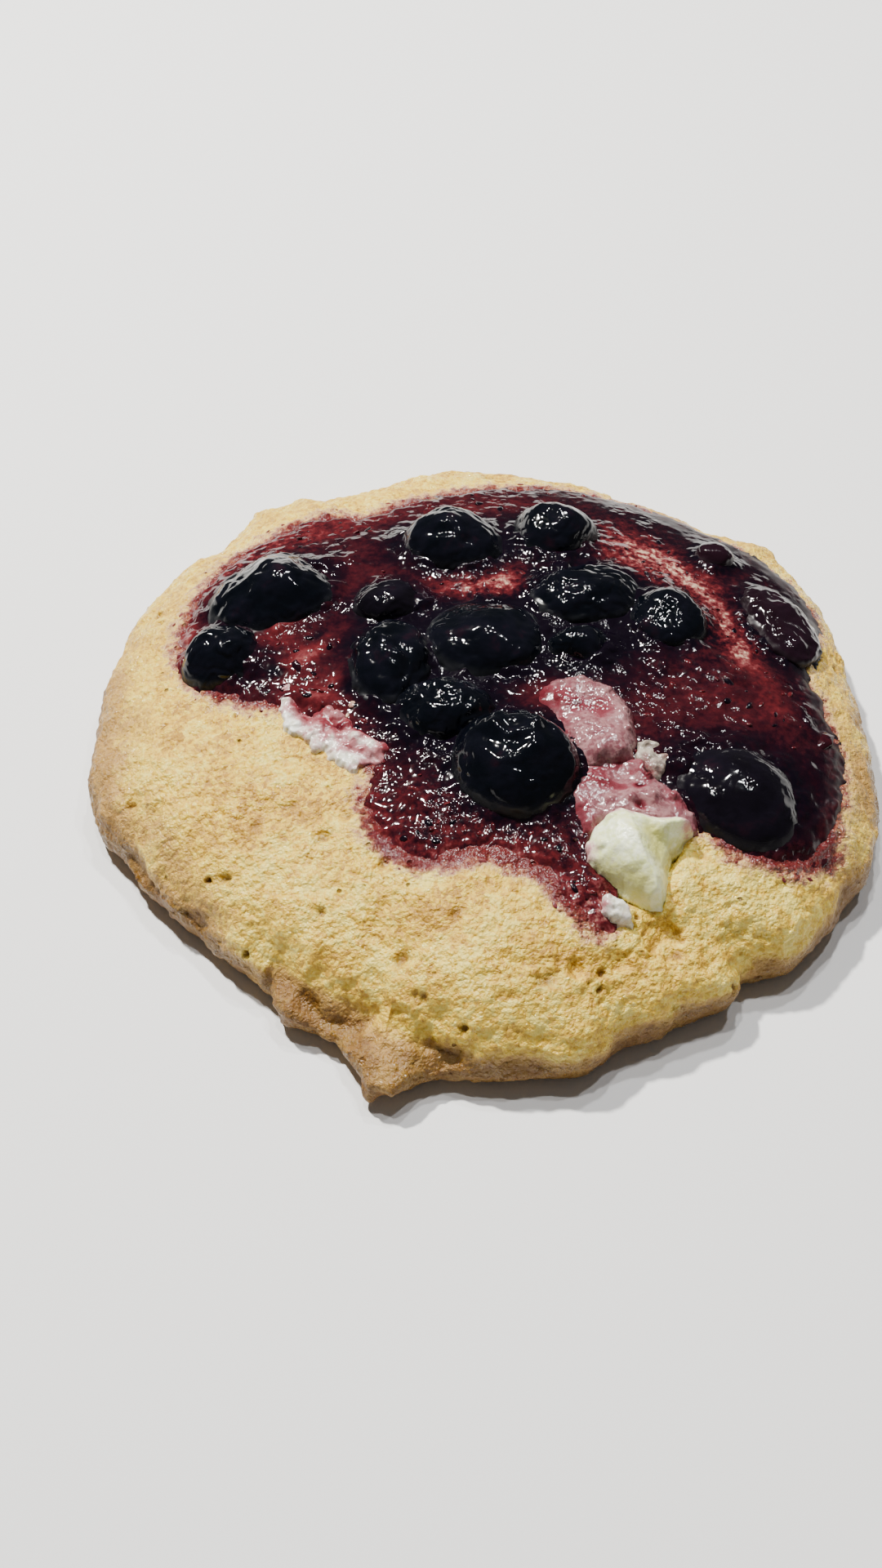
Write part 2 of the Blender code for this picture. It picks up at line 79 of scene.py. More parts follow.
berries = {
    # x, y, width, depth, turn, rise, peak, wrinkle height, seed
    "rows": (
        (-25.6, 16.0, 15.6, 13.0, 20, 4.6, 0.0, 0.22, 1),
        (-31.0, 6.3, 10.0, 8.9, 20, 3.6, 0.0, 0.2, 2),
        (-11.5, 13.6, 8.0, 6.8, 0, 2.6, 0.0, 0.14, 3),
        (-3.6, 24.3, 12.4, 9.8, -12, 4.0, 0.35, 0.18, 4),
        (9.2, 26.4, 10.0, 9.4, 0, 4.1, 0.25, 0.18, 5),
        (12.6, 14.9, 13.4, 9.2, 8, 3.1, 0.0, 0.22, 6),
        (22.4, 11.2, 9.4, 9.4, -10, 3.0, 0.0, 0.18, 7),
        (0.7, 7.2, 14.2, 12.0, 0, 3.4, 0.0, 0.14, 8),
        (-10.9, 3.4, 9.4, 12.6, 0, 3.8, 0.15, 0.22, 9),
        (-4.8, -4.4, 11.0, 9.0, -15, 3.2, 0.0, 0.24, 10),
        (3.6, -12.0, 15.0, 14.2, 0, 5.1, 0.3, 0.18, 11),
        (29.0, -14.4, 15.4, 13.0, -38, 3.5, 0.0, 0.08, 12),
        (29.3, 24.4, 4.8, 4.2, 0, 1.4, 0.0, 0.14, 13),
        (36.6, 13.0, 12.4, 8.4, -61, 1.7, 0.0, 0.26, 14),
        (11.6, 6.2, 7.2, 5.2, 0, 2.2, 0.0, 0.2, 15)),
    "fullness": 0.92, "broader": 1.08, "sink": 2.0, "waterline": 0.9, "uneven": 0.07,
    # how full the top is: the higher, the rounder
    "roundness": 2.1, "rounder": {1: 2.3, 4: 2.4, 5: 2.3, 11: 2.5},
    # how far each lies deeper than its solid, in mm
    "deeper": {1: 0.7, 2: 1.0, 6: 0.0, 11: 0.6, 12: 1.2, 14: 0.5, 15: 0.0}, "deeperElse": 0.2,
    # how purple a skin is, where it isn't near black
    "purple": {3: 0.1, 12: 0.1, 13: 0.6, 14: 0.45},
    # sunken places in the skin: x, y as shares of the half sizes, reach, depth in mm
    "dents": {
        1: ((-0.35, -0.1, 0.42, 0.7), (0.45, 0.25, 0.35, 0.5), (0.0, -0.5, 0.3, 0.4),
            (-0.2, 0.5, 0.3, 0.4)),
        2: ((0.25, 0.2, 0.4, 0.4), (-0.3, -0.3, 0.35, 0.4)), 3: ((0.0, 0.2, 0.5, 0.3),),
        4: ((0.45, 0.1, 0.4, 0.6), (-0.45, -0.25, 0.35, 0.5)), 5: ((-0.1, -0.3, 0.4, 0.5),),
        6: ((0.3, 0.1, 0.4, 0.5), (-0.5, 0.0, 0.3, 0.4)), 7: ((0.1, -0.3, 0.4, 0.4),),
        8: ((-0.4, 0.1, 0.4, 0.3), (0.5, -0.2, 0.35, 0.3)),
        9: ((0.1, 0.3, 0.4, 0.7), (-0.2, -0.4, 0.35, 0.5)),
        10: ((0.2, 0.1, 0.4, 0.5), (-0.5, -0.1, 0.3, 0.4)),
        11: ((-0.05, -0.05, 0.26, 0.9), (0.5, -0.45, 0.35, 0.4), (-0.6, -0.3, 0.3, 0.4)),
        12: ((0.5, 0.4, 0.3, 0.4), (-0.6, -0.3, 0.3, 0.3)),
        14: ((0.2, 0.0, 0.4, 0.4), (-0.5, 0.1, 0.3, 0.3))},
    # the open crown on top: berry, x, y, radius, half width, height
    "crown": (11, -0.2, 2.6, 2.5, 0.6, 0.42),
}


def smooth01(value):
    value = np.clip(value, 0.0, 1.0)
    return value * value * (3 - 2 * value)


def eased(value, start, span):
    # from 0 at start to 1 a span further on
    return smooth01((value - start) / span)


def turnFrom(angle, degrees):
    # the shorter way round from an angle
    return (degrees - angle + 180) % 360 - 180


def lobePush(lobes, degrees):
    push = np.zeros_like(degrees)
    for angle, halfWidth, size in lobes:
        push += size * np.exp(-(turnFrom(angle, degrees) / halfWidth) ** 2)
    return push


def domeHeight(x, y):
    degrees = np.degrees(np.arctan2(y, x))
    broad = dome["edge"] + lobePush(dome["lobes"], degrees)
    nub = lobePush(dome["nubs"], degrees)
    share = np.hypot(x, y) / broad
    for _ in range(dome["nubRounds"]):
        share = np.clip((np.hypot(x, y) - share ** dome["nubFade"] * nub) / broad, 0, 1)
    rise = (1 - share ** dome["fall"]) ** dome["shoulder"]
    return dome["widest"] + (dome["crown"] - dome["widest"]) * rise


def ringReach(stations, degrees):
    # a closed smooth curve of reach over angle
    angles = np.array(sorted(stations), float)
    values = np.array([stations[angle] for angle in sorted(stations)], float)
    angles = np.concatenate((angles - 360, angles, angles + 360))
    values = np.tile(values, 3)
    slopes = np.gradient(values)
    slopes[1:-1] = (values[2:] - values[:-2]) / (angles[2:] - angles[:-2])
    degrees = np.asarray(degrees, float) % 360
    after = np.clip(np.searchsorted(angles, degrees, side="right"), 1, len(angles) - 1)
    span = angles[after] - angles[after - 1]
    t = (degrees - angles[after - 1]) / span
    start = (2 * t ** 3 - 3 * t ** 2 + 1) * values[after - 1]
    end = (3 * t ** 2 - 2 * t ** 3) * values[after]
    leave = (t ** 3 - 2 * t ** 2 + t) * slopes[after - 1] * span
    arrive = (t ** 3 - t ** 2) * slopes[after] * span
    return start + end + leave + arrive


jamRim = KDTree(jam["rimPoints"])
for step in range(jam["rimPoints"]):
    angle = step * 360 / jam["rimPoints"]
    reach = float(ringReach(jam["reach"], angle))
    jamRim.insert((jam["middle"][0] + reach * math.cos(math.radians(angle)),
                   jam["middle"][1] + reach * math.sin(math.radians(angle)), 0.0), step)
jamRim.balance()


def jamInset(x, y):
    # distance to the jam's edge, positive inside it
    nearest = np.array([jamRim.find((a, b, 0.0))[2] for a, b in zip(x.tolist(), y.tolist())])
    x, y = x - jam["middle"][0], y - jam["middle"][1]
    inside = np.hypot(x, y) < ringReach(jam["reach"], np.degrees(np.arctan2(y, x)))
    return np.where(inside, nearest, -nearest)


def turned(x, y, middleX, middleY, turn):
    # x, y as seen from a place with its own turn
    c, s = math.cos(math.radians(turn)), math.sin(math.radians(turn))
    x, y = x - middleX, y - middleY
    return x * c + y * s, y * c - x * s


def patchSum(x, y, patches):
    # soft oval patches: x, y, half width, half depth, turn, push
    total = np.zeros_like(x)
    for middleX, middleY, halfWidth, halfDepth, turn, push in patches:
        along, across = turned(x, y, middleX, middleY, turn)
        total += push * np.exp(-(along / halfWidth) ** 2 - (across / halfDepth) ** 2)
    return total


def trackAway(x, y, path):
    # distance to a line through the path's points
    nearest = np.full(x.shape, farOff)
    for (x0, y0), (x1, y1) in zip(path, path[1:]):
        runX, runY = x1 - x0, y1 - y0
        t = np.clip(((x - x0) * runX + (y - y0) * runY) / (runX ** 2 + runY ** 2), 0, 1)
        nearest = np.minimum(nearest, np.hypot(x - x0 - t * runX, y - y0 - t * runY))
    return nearest


def outlineInset(x, y, corners):
    # distance to a closed outline, positive inside it
    ring = list(corners) + [corners[0]]
    inside = np.zeros(x.shape, bool)
    for (x0, y0), (x1, y1) in zip(ring, ring[1:]):
        crosses = (y0 > y) != (y1 > y)
        inside ^= crosses & (x < (x1 - x0) * (y - y0) / (y1 - y0 + 1e-12) + x0)
    return np.where(inside, 1, -1) * trackAway(x, y, ring)


def noiseAt(points, size, number=0):
    # smooth unevenness about 0 in lumps of the given size, one size or one for each direction
    scaled = points / np.asarray(size, float) + (number * 7.3, number * 3.1, number * 5.7)
    return np.array([noise.noise(place) for place in scaled.tolist()])


def softSurface(x, y, spots):
    # a smooth surface through the given spots: x, y, height
    spots = np.array(spots, float)
    count = len(spots)

    def bend(ax, ay):
        square = (ax[:, None] - spots[:, 0]) ** 2 + (ay[:, None] - spots[:, 1]) ** 2
        return square * np.log(square + 1e-9)

    flat = np.column_stack((np.ones(count), spots[:, :2]))
    system = np.zeros((count + 3, count + 3))
    system[:count, :count] = bend(spots[:, 0], spots[:, 1])
    system[:count, count:] = flat
    system[count:, :count] = flat.T
    weights = np.linalg.solve(system, np.concatenate((spots[:, 2], np.zeros(3))))
    level, slopeX, slopeY = weights[count:]
    return bend(x, y) @ weights[:count] + level + slopeX * x + slopeY * y


def thickSide(x, y):
    # 1 at the right and the back right, where the jam ends in thick dark lobes, and 0 at the left
    middle, halfWidth = jam["thickAt"]
    turn = turnFrom(middle, np.degrees(np.arctan2(y - jam["middle"][1], x - jam["middle"][0])))
    return np.exp(-(turn / halfWidth) ** 4)


def berryDistance(x, y):
    # rough distance outside the nearest berry's outline
    nearest = np.full(x.shape, farOff)
    for middleX, middleY, width, depth, turn, *_ in berries["rows"]:
        along, across = turned(x, y, middleX, middleY, turn)
        scaled = np.hypot(along / (width / 2), across / (depth / 2))
        nearest = np.minimum(nearest, (scaled - 1) * min(width, depth) / 2)
    return nearest


def addObject(name, data):
    new = bpy.data.objects.new(name, data)
    bpy.context.scene.collection.objects.link(new)
    return new


def meshPiece(name, points, faces):
    mesh = bpy.data.meshes.new(name)
    mesh.from_pydata(((np.asarray(points) + cookieShift) * mm).tolist(), [], faces)
    return addObject(name, mesh)


def meshSheet(name, box, step, keptAt, heightAt, skirt):
    # a fine grid lifted to heightAt where keptAt is true, with a wall down its edge and an
    # under side
    xs, ys = np.arange(box[0], box[2], step), np.arange(box[1], box[3], step)
    x, y = np.meshgrid(xs, ys, indexing="ij")
    shape = x.shape
    x, y = x.ravel(), y.ravel()
    kept = keptAt(x, y).reshape(shape)
    cells = kept[:-1, :-1] & kept[1:, :-1] & kept[:-1, 1:] & kept[1:, 1:]
    corner = np.arange(x.size).reshape(shape)
    sides = (corner[:-1, :-1], corner[1:, :-1], corner[1:, 1:], corner[:-1, 1:])
    used, faces = np.unique(np.stack([side[cells] for side in sides], axis=1), return_inverse=True)
    x, y = x[used], y[used]
    piece = meshPiece(name, np.stack((x, y, heightAt(x, y)), axis=1), faces.reshape(-1, 4).tolist())
    setValues(piece, "surface", np.ones_like(x))
    mesh = bmesh.new()
    mesh.from_mesh(piece.data)
    surface = mesh.verts.layers.float["surface"]
    rim = [edge for edge in mesh.edges if edge.is_boundary]
    grown = bmesh.ops.extrude_edge_only(mesh, edges=rim)["geom"]
    for vert in [item for item in grown if isinstance(item, bmesh.types.BMVert)]:
        vert.co.z -= skirt * mm
        vert[surface] = 0.0
    bmesh.ops.holes_fill(mesh, edges=[edge for edge in mesh.edges if edge.is_boundary], sides=0)
    bmesh.ops.triangulate(mesh, faces=[face for face in mesh.faces if len(face.verts) > 4])
    bmesh.ops.recalc_face_normals(mesh, faces=mesh.faces)
    mesh.to_mesh(piece.data)
    mesh.free()
    return piece


def placesOf(piece):
    # the mesh's points, in mm about the cookie's own centre
    places = np.empty(len(piece.data.vertices) * 3, np.float32)
    piece.data.vertices.foreach_get("co", places)
    return places.reshape(-1, 3).astype(float) / mm - cookieShift


def movePoints(piece, points):
    flat = ((points + cookieShift) * mm).astype(np.float32).ravel()
    piece.data.vertices.foreach_set("co", flat)
    piece.data.update()


def normalsOf(piece):
    normals = np.empty(len(piece.data.vertices) * 3, np.float32)
    piece.data.vertex_normals.foreach_get("vector", normals)
    return normals.reshape(-1, 3).astype(float)


def valuesOf(piece, name):
    values = np.empty(len(piece.data.vertices), np.float32)
    piece.data.attributes[name].data.foreach_get("value", values)
    return values


def setValues(piece, name, values):
    layer = piece.data.attributes.get(name) or piece.data.attributes.new(name, "FLOAT", "POINT")
    layer.data.foreach_set("value", np.asarray(values, np.float32))


def bakeModifiers(piece):
    graph = bpy.context.evaluated_depsgraph_get()
    baked = bpy.data.meshes.new_from_object(piece.evaluated_get(graph))
    old = piece.data
    piece.modifiers.clear()
    piece.data = baked
    bpy.data.meshes.remove(old)
    baked.name = piece.name


def useTree(piece, tree, values=None):
    modifier = piece.modifiers.new(tree.name, "NODES")
    modifier.node_group = tree
    for item in tree.interface.items_tree:
        if item.item_type == "SOCKET" and item.in_out == "INPUT" and item.name in (values or {}):
            modifier[item.identifier] = values[item.name]
    bakeModifiers(piece)


def finishPiece(piece, slot, nodes=()):
    for face in piece.data.polygons:
        face.use_smooth = True
    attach(piece, "root")
    if nodes:
        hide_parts(*nodes)
    print(piece.name, len(piece.data.polygons), "faces")


def pick(sockets, key):
    if isinstance(key, int):
        return sockets[key]
    return next(socket for socket in sockets if socket.name == key and socket.enabled)


def plug(socket, value):
    if isinstance(value, bpy.types.NodeSocket):
        socket.id_data.links.new(value, socket)
    else:
        socket.default_value = value


def addNode(tree, kind, inputs=None, **settings):
    new = tree.nodes.new(kind)
    for name, value in settings.items():
        setattr(new, name, value)
    for key, value in (inputs or {}).items():
        plug(pick(new.inputs, key), value)
    return new


def calc(operation, *values):
    # a Math node in the tree that the values come from
    tree = next(value.id_data for value in values if isinstance(value, bpy.types.NodeSocket))
    return addNode(tree, "ShaderNodeMath", dict(enumerate(values)), operation=operation).outputs[0]


def plus(first, second):
    return calc("ADD", first, second)


def minus(first, second):
    return calc("SUBTRACT", first, second)


def times(first, second):
    return calc("MULTIPLY", first, second)


def about(wave, height):
    # a wave round 0.5 turned into one round 0
    return times(minus(wave, 0.5), height)


def ramped(value, low, high, toLow=0.0, toHigh=1.0):
    given = {"Value": value, "From Min": low, "From Max": high, "To Min": toLow, "To Max": toHigh}
    return addNode(value.id_data, "ShaderNodeMapRange", given,
                   interpolation_type="SMOOTHSTEP").outputs[0]


def noiseOf(place, scale, detail=2.0, roughness=0.5, distortion=0.0):
    given = {"Vector": place, "Scale": scale, "Detail": detail, "Roughness": roughness,
             "Distortion": distortion}
    return addNode(place.id_data, "ShaderNodeTexNoise", given).outputs[0]


noiseSpread = 2.6   # a noise keeps near its middle, so the height of its waves is spread by this


def lumps(place, size, detail, roughness=0.5, distortion=0.0):
    return noiseOf(place, calc("DIVIDE", 1.0, size), detail, roughness, distortion)


def shapeTree(name, sizes):
    # a Geometry Nodes tree whose inputs are the named sizes
    tree = bpy.data.node_groups.new(name, "GeometryNodeTree")
    tree.interface.new_socket("Geometry", in_out="INPUT", socket_type="NodeSocketGeometry")
    tree.interface.new_socket("Geometry", in_out="OUTPUT", socket_type="NodeSocketGeometry")
    kinds = {int: "NodeSocketInt", float: "NodeSocketFloat",
             bpy.types.Material: "NodeSocketMaterial"}
    for label, value in sizes.items():
        socket = tree.interface.new_socket(label, in_out="INPUT", socket_type=kinds[type(value)])
        socket.default_value = value
    return tree, tree.nodes.new("NodeGroupInput").outputs, tree.nodes.new("NodeGroupOutput")


def endTree(end, geometry, material):
    tree = geometry.id_data
    real = addNode(tree, "GeometryNodeRealizeInstances", {"Geometry": geometry}).outputs[0]
    painted = addNode(tree, "GeometryNodeSetMaterial", {"Geometry": real, "Material": material})
    plug(end.inputs[0], painted.outputs[0])
    return tree


def randomBetween(tree, least, most, seed=0):
    given = {"Min": least, "Max": most, "Seed": seed}
    return pick(addNode(tree, "FunctionNodeRandomValue", given, data_type="FLOAT").outputs, "Value")


def placeOf(tree):
    return addNode(tree, "GeometryNodeInputPosition").outputs[0]


def normalOf(tree):
    return addNode(tree, "GeometryNodeInputNormal").outputs[0]


def attribute(tree, name):
    given = addNode(tree, "GeometryNodeInputNamedAttribute", {"Name": name}, data_type="FLOAT")
    return pick(given.outputs, "Attribute")


def store(geometry, name, value):
    given = {"Geometry": geometry, "Name": name, "Value": value}
    return addNode(geometry.id_data, "GeometryNodeStoreNamedAttribute", given, data_type="FLOAT",
                   domain="POINT").outputs[0]


def pushAlong(geometry, direction, distance):
    tree = geometry.id_data
    offset = addNode(tree, "ShaderNodeVectorMath", {0: direction}, operation="SCALE")
    plug(pick(offset.inputs, "Scale"), distance)
    given = {"Geometry": geometry, "Offset": offset.outputs[0]}
    return addNode(tree, "GeometryNodeSetPosition", given).outputs[0]


def newMaterial(name):
    material = bpy.data.materials.new(name)
    material.use_nodes = True
    tree = material.node_tree
    return material, tree, tree.nodes["Principled BSDF"]


def colourRamp(value, stops):
    ramp = addNode(value.id_data, "ShaderNodeValToRGB", {"Fac": value})
    elements = ramp.color_ramp.elements
    while len(elements) < len(stops):
        elements.new(0.5)
    for element, stop in zip(elements, stops):
        element.position = stop[0]
    for element, stop in zip(elements, stops):
        element.color = (*stop[1], 1.0)
    return ramp.outputs[0]


def blendColour(factor, first, second):
    new = addNode(factor.id_data, "ShaderNodeMix", {"Factor": factor}, data_type="RGBA")
    for key, value in (("A", first), ("B", second)):
        plug(pick(new.inputs, key), (*value, 1.0) if isinstance(value, tuple) else value)
    return pick(new.outputs, "Result")


def valueOf(tree, name):
    return addNode(tree, "ShaderNodeAttribute", attribute_name=name).outputs["Fac"]


def shadeGroup(name, inputs, outputs):
    group = bpy.data.node_groups.new(name, "ShaderNodeTree")
    for label, value in inputs.items():
        kind = "NodeSocketVector" if value is None else "NodeSocketFloat"
        socket = group.interface.new_socket(label, in_out="INPUT", socket_type=kind)
        if value is not None:
            socket.default_value = value
    for label in outputs:
        group.interface.new_socket(label, in_out="OUTPUT", socket_type="NodeSocketFloat")
    given = group.nodes.new("NodeGroupInput").outputs
    return group, given, group.nodes.new("NodeGroupOutput").inputs


def useGroup(group, place, **values):
    new = place.id_data.nodes.new("ShaderNodeGroup")
    new.node_tree = group
    plug(new.inputs["Vector"], place)
    for key, value in values.items():
        plug(new.inputs[key], value)
    return new.outputs


def makeCrumbGroup():
    # baked grain: a height for bumps, a mottle for colour, and a spark where a fat grain shines
    group, given, out = shadeGroup("crumbGrain", {"Vector": None, "Grain": 1500.0}, (
        "Height", "Mottle", "Spark"))
    place = given["Vector"]
    fine = noiseOf(place, given["Grain"], 3.0, 0.62)
    grains = addNode(group, "ShaderNodeTexVoronoi", {
        "Vector": place, "Scale": times(given["Grain"], 1.5)}).outputs
    grainTone = addNode(group, "ShaderNodeSeparateColor", {0: grains["Color"]}).outputs
    plug(out["Height"], plus(times(fine, 0.8), times(grains["Distance"], -0.22)))
    broad, middle = (noiseOf(place, times(given["Grain"], share)) for share in (0.12, 0.42))
    shares = ((broad, 0.32), (middle, 0.24), (fine, 0.31), (grainTone[0], 0.13))
    plug(out["Mottle"], reduce(plus, [times(part, share) for part, share in shares]))
    fat = times(ramped(grainTone[1], 0.64, 0.74), ramped(broad, 0.42, 0.58, 0.3, 1.0))
    plug(out["Spark"], fat)
    return group


def makeWetGroup():
    # wet pulp: small rounded grains that touch, gathered in patches
    group, given, out = shadeGroup("wetRelief", {"Vector": None, "Size": 850.0, "Patch": 230.0}, (
        "Height", "Gathered"))

    def caps(factor, weight):
        cells = addNode(group, "ShaderNodeTexVoronoi", {
            "Vector": given["Vector"], "Scale": times(given["Size"], factor)}).outputs["Distance"]
        cap = minus(1.0, times(calc("POWER", cells, 2.0), 1.7))
        return times(calc("MAXIMUM", cap, 0.0), weight)

    gathered = ramped(noiseOf(given["Vector"], given["Patch"]), 0.47, 0.61, 0.07, 1.0)
    plug(out["Gathered"], gathered)
    plug(out["Height"], times(plus(caps(1.0, 0.82), caps(2.1, 0.18)), gathered))
    return group


crumbGrain = makeCrumbGroup()
wetRelief = makeWetGroup()


def objectPlace(tree):
    return addNode(tree, "ShaderNodeTexCoord").outputs["Object"]


def addBump(shader, height, distance):
    bump = addNode(shader.id_data, "ShaderNodeBump", {
        "Height": height, "Strength": 1.0, "Distance": distance})
    plug(shader.inputs["Normal"], bump.outputs[0])


def setSoft(shader, weight, radius, scale):
    # light that goes into the surface and comes out beside
    for key, value in (("Weight", weight), ("Radius", radius), ("Scale", scale)):
        shader.inputs["Subsurface " + key].default_value = value


def makeDoughMaterial():
    look = {
        "roughness": 0.55, "sparkGloss": 0.42, "bump": 0.00056, "specular": 0.48,
        "soft": (0.10, (1.0, 0.55, 0.25), 0.0012),
        # crumb, from its darkest to its palest
        "deep": (0.43, 0.220, 0.017), "golden": (0.67, 0.400, 0.035),
        "pale": (0.77, 0.520, 0.052), "white": (0.83, 0.650, 0.135),
        # baked rim, darkened further by painted shade low down and at the front, and torn pores with
        # painted shade inside
        "tan": (0.42, 0.235, 0.056), "darkCrustAndShade": (0.165, 0.072, 0.014), "poreShade": (0.19, 0.075, 0.006),
        # soaked with jam, from the dry side to the wet
        "soaked": (
            (0.0, (0.77, 0.58, 0.14)), (0.34, (0.58, 0.36, 0.14)), (0.58, (0.3, 0.11, 0.062)),
            (0.85, (0.115, 0.014, 0.014))),
        "poreScale": 330.0, "driftScale": 460.0, "speckScale": 1300.0,
    }
    material, tree, shader = newMaterial("bakedDough")
    place = objectPlace(tree)
    grain = useGroup(crumbGrain, place)
    mottle = plus(grain["Mottle"], valueOf(tree, "paleness"))
    base = colourRamp(mottle, ((0.40, look["deep"]), (0.462, look["golden"]), (0.522, look["pale"]),
                               (0.59, look["white"])))
    # the browning value also carries painted shade on the low rim and its front
    browningAndShade = plus(valueOf(tree, "browningAndShade"), about(grain["Mottle"], -0.8))
    toastAndShade = colourRamp(browningAndShade, (
        (0.15, look["pale"]), (0.50, look["tan"]), (0.95, look["darkCrustAndShade"])))
    browned = blendColour(ramped(browningAndShade, 0.06, 0.55, 0.0, 0.92), base, toastAndShade)
    # small torn pores, darkened inside with painted shade
    cells = addNode(tree, "ShaderNodeTexVoronoi", {
        "Vector": place, "Scale": look["poreScale"]}).outputs
    poreEdge = plus(cells["Distance"], times(noiseOf(place, 2600.0), 0.16))
    rare = ramped(cells["Color"], 0.62, 0.64)
    small = times(ramped(poreEdge, 0.13, 0.20, 1.0, 0.0), rare)
    pore = calc("MAXIMUM", small, valueOf(tree, "pore"))
    pored = blendColour(times(pore, 0.85), browned, look["poreShade"])
    # soaked with jam round its edge
    drift = noiseOf(place, look["driftScale"], 4.0, 0.68)
    specks = noiseOf(place, look["speckScale"], 2.0, 0.6)
    inset = plus(plus(valueOf(tree, "soakInset"), about(drift, 5.4)), about(specks, 3.2))
    soak = ramped(inset, -3.3, 1.0)
    stained = blendColour(ramped(soak, 0.03, 0.42), pored, colourRamp(soak, look["soaked"]))
    plug(shader.inputs["Base Color"], stained)
    moist = useGroup(wetRelief, place, Size=1300.0, Patch=170.0)
    rough = minus(look["roughness"], times(grain["Spark"], look["sparkGloss"]))
    rough = times(rough, ramped(moist["Gathered"], 0.3, 1.0, 1.0, 0.62))
    plug(shader.inputs["Roughness"], times(rough, ramped(soak, 0.25, 0.8, 1.0, 0.35)))
    height = minus(grain["Height"], times(small, 1.6))
    height = plus(height, times(moist["Height"], ramped(soak, 0.2, 0.8, 0.22, 0.60)))
    addBump(shader, height, look["bump"])
    shader.inputs["Specular IOR Level"].default_value = look["specular"]
    setSoft(shader, *look["soft"])
    return material


def makeJamMaterial():
    look = {
        "roughness": 0.085, "wallRoughness": 0.32, "ior": 1.33, "bump": 0.00016,
        # from the darkest jam to the palest grain of pulp
        "tones": (
            (0.02, (0.0028, 0.0014, 0.0042)), (0.22, (0.009, 0.0017, 0.0048)),
            (0.42, (0.035, 0.0048, 0.0078)), (0.6, (0.082, 0.0092, 0.012)),
            (0.74, (0.15, 0.032, 0.035)), (0.88, (0.27, 0.115, 0.095)), (1.0, (0.5, 0.335, 0.235))),
        "driftScale": 400.0, "fineScale": 1300.0,
    }
    material, tree, shader = newMaterial("blueberryJam")
    place = objectPlace(tree)
    drift = noiseOf(place, look["driftScale"], 4.0, 0.6)
    fine = noiseOf(place, look["fineScale"], 2.0, 0.6)
    grit = valueOf(tree, "grit")
    tone = plus(valueOf(tree, "tone"), about(drift, plus(0.45, times(grit, 0.35))))
    tone = plus(tone, about(fine, plus(0.42, times(grit, 2.2))))
    plug(shader.inputs["Base Color"], colourRamp(tone, look["tones"]))
    wet = useGroup(wetRelief, place)
    smooth = minus(1.0, times(valueOf(tree, "calm"), 0.45))
    addBump(shader, times(wet["Height"], smooth), look["bump"])
    # duller on the outer wall of the thick side
    wall = times(ramped(valueOf(tree, "jamInset"), 3.4, 1.4, 0.0, look["wallRoughness"]),
                 valueOf(tree, "thick"))
    plug(shader.inputs["Roughness"], plus(look["roughness"], plus(wall, valueOf(tree, "dull"))))
    shader.inputs["IOR"].default_value = look["ior"]
    return material


def makeBerryMaterial():
    look = {
        "roughness": 0.08, "flankRoughness": 0.42, "ior": 1.36, "bump": 0.00008, "driftScale": 260.0,
        "skins": (
            (0.4, (0.001, 0.0016, 0.0032)), (0.6, (0.0028, 0.003, 0.0062)),
            (0.8, (0.014, 0.004, 0.009))),
        "purple": (0.017, 0.0040, 0.0085),
    }
    material, tree, shader = newMaterial("blueberrySkin")
    place = objectPlace(tree)
    drift = noiseOf(place, look["driftScale"], 3.0, 0.6)
    colour = blendColour(valueOf(tree, "purple"), colourRamp(drift, look["skins"]), look["purple"])
    plug(shader.inputs["Base Color"], colour)
    wet = useGroup(wetRelief, place, Size=900.0, Patch=300.0)
    addBump(shader, wet["Height"], look["bump"])
    # duller where jam clings to the flanks
    clinging = times(valueOf(tree, "flank"), look["flankRoughness"])
    plug(shader.inputs["Roughness"], plus(look["roughness"], clinging))
    shader.inputs["IOR"].default_value = look["ior"]
    return material


# clean: the cheese's own colours; stains: from the first tinge of jam to jam itself
cheeseLooks = {
    "creamCheese": {
        "clean": ((0.78, 0.84, 0.40), (0.92, 0.98, 0.70)),
    "wetness": 0.10,
        "stains": (
            (0.8, 0.7, 0.58), (0.56, 0.3, 0.3), (0.25, 0.05, 0.06), (0.09, 0.005, 0.014))},
    "brokenCheese": {
        "clean": ((0.60, 0.57, 0.44), (0.86, 0.88, 0.80)),
    "wetness": 0.20,
        "stains": (
            (0.66, 0.48, 0.48), (0.42, 0.18, 0.19), (0.2, 0.03, 0.04), (0.09, 0.005, 0.012))},
    "stainedCheese": {
        "clean": ((0.165, 0.054, 0.066), (0.31, 0.155, 0.16)),
    "wetness": 0.27,
        "stains": (
            (0.26, 0.1, 0.115), (0.17, 0.036, 0.048), (0.11, 0.012, 0.018), (0.05, 0.003, 0.008))},
    "grainyCheese": {
        "clean": ((0.17, 0.135, 0.12), (0.42, 0.37, 0.30)),
    "wetness": 0.27,
        "stains": (
            (0.3, 0.17, 0.15), (0.17, 0.046, 0.05), (0.1, 0.012, 0.016), (0.05, 0.003, 0.008))},
}


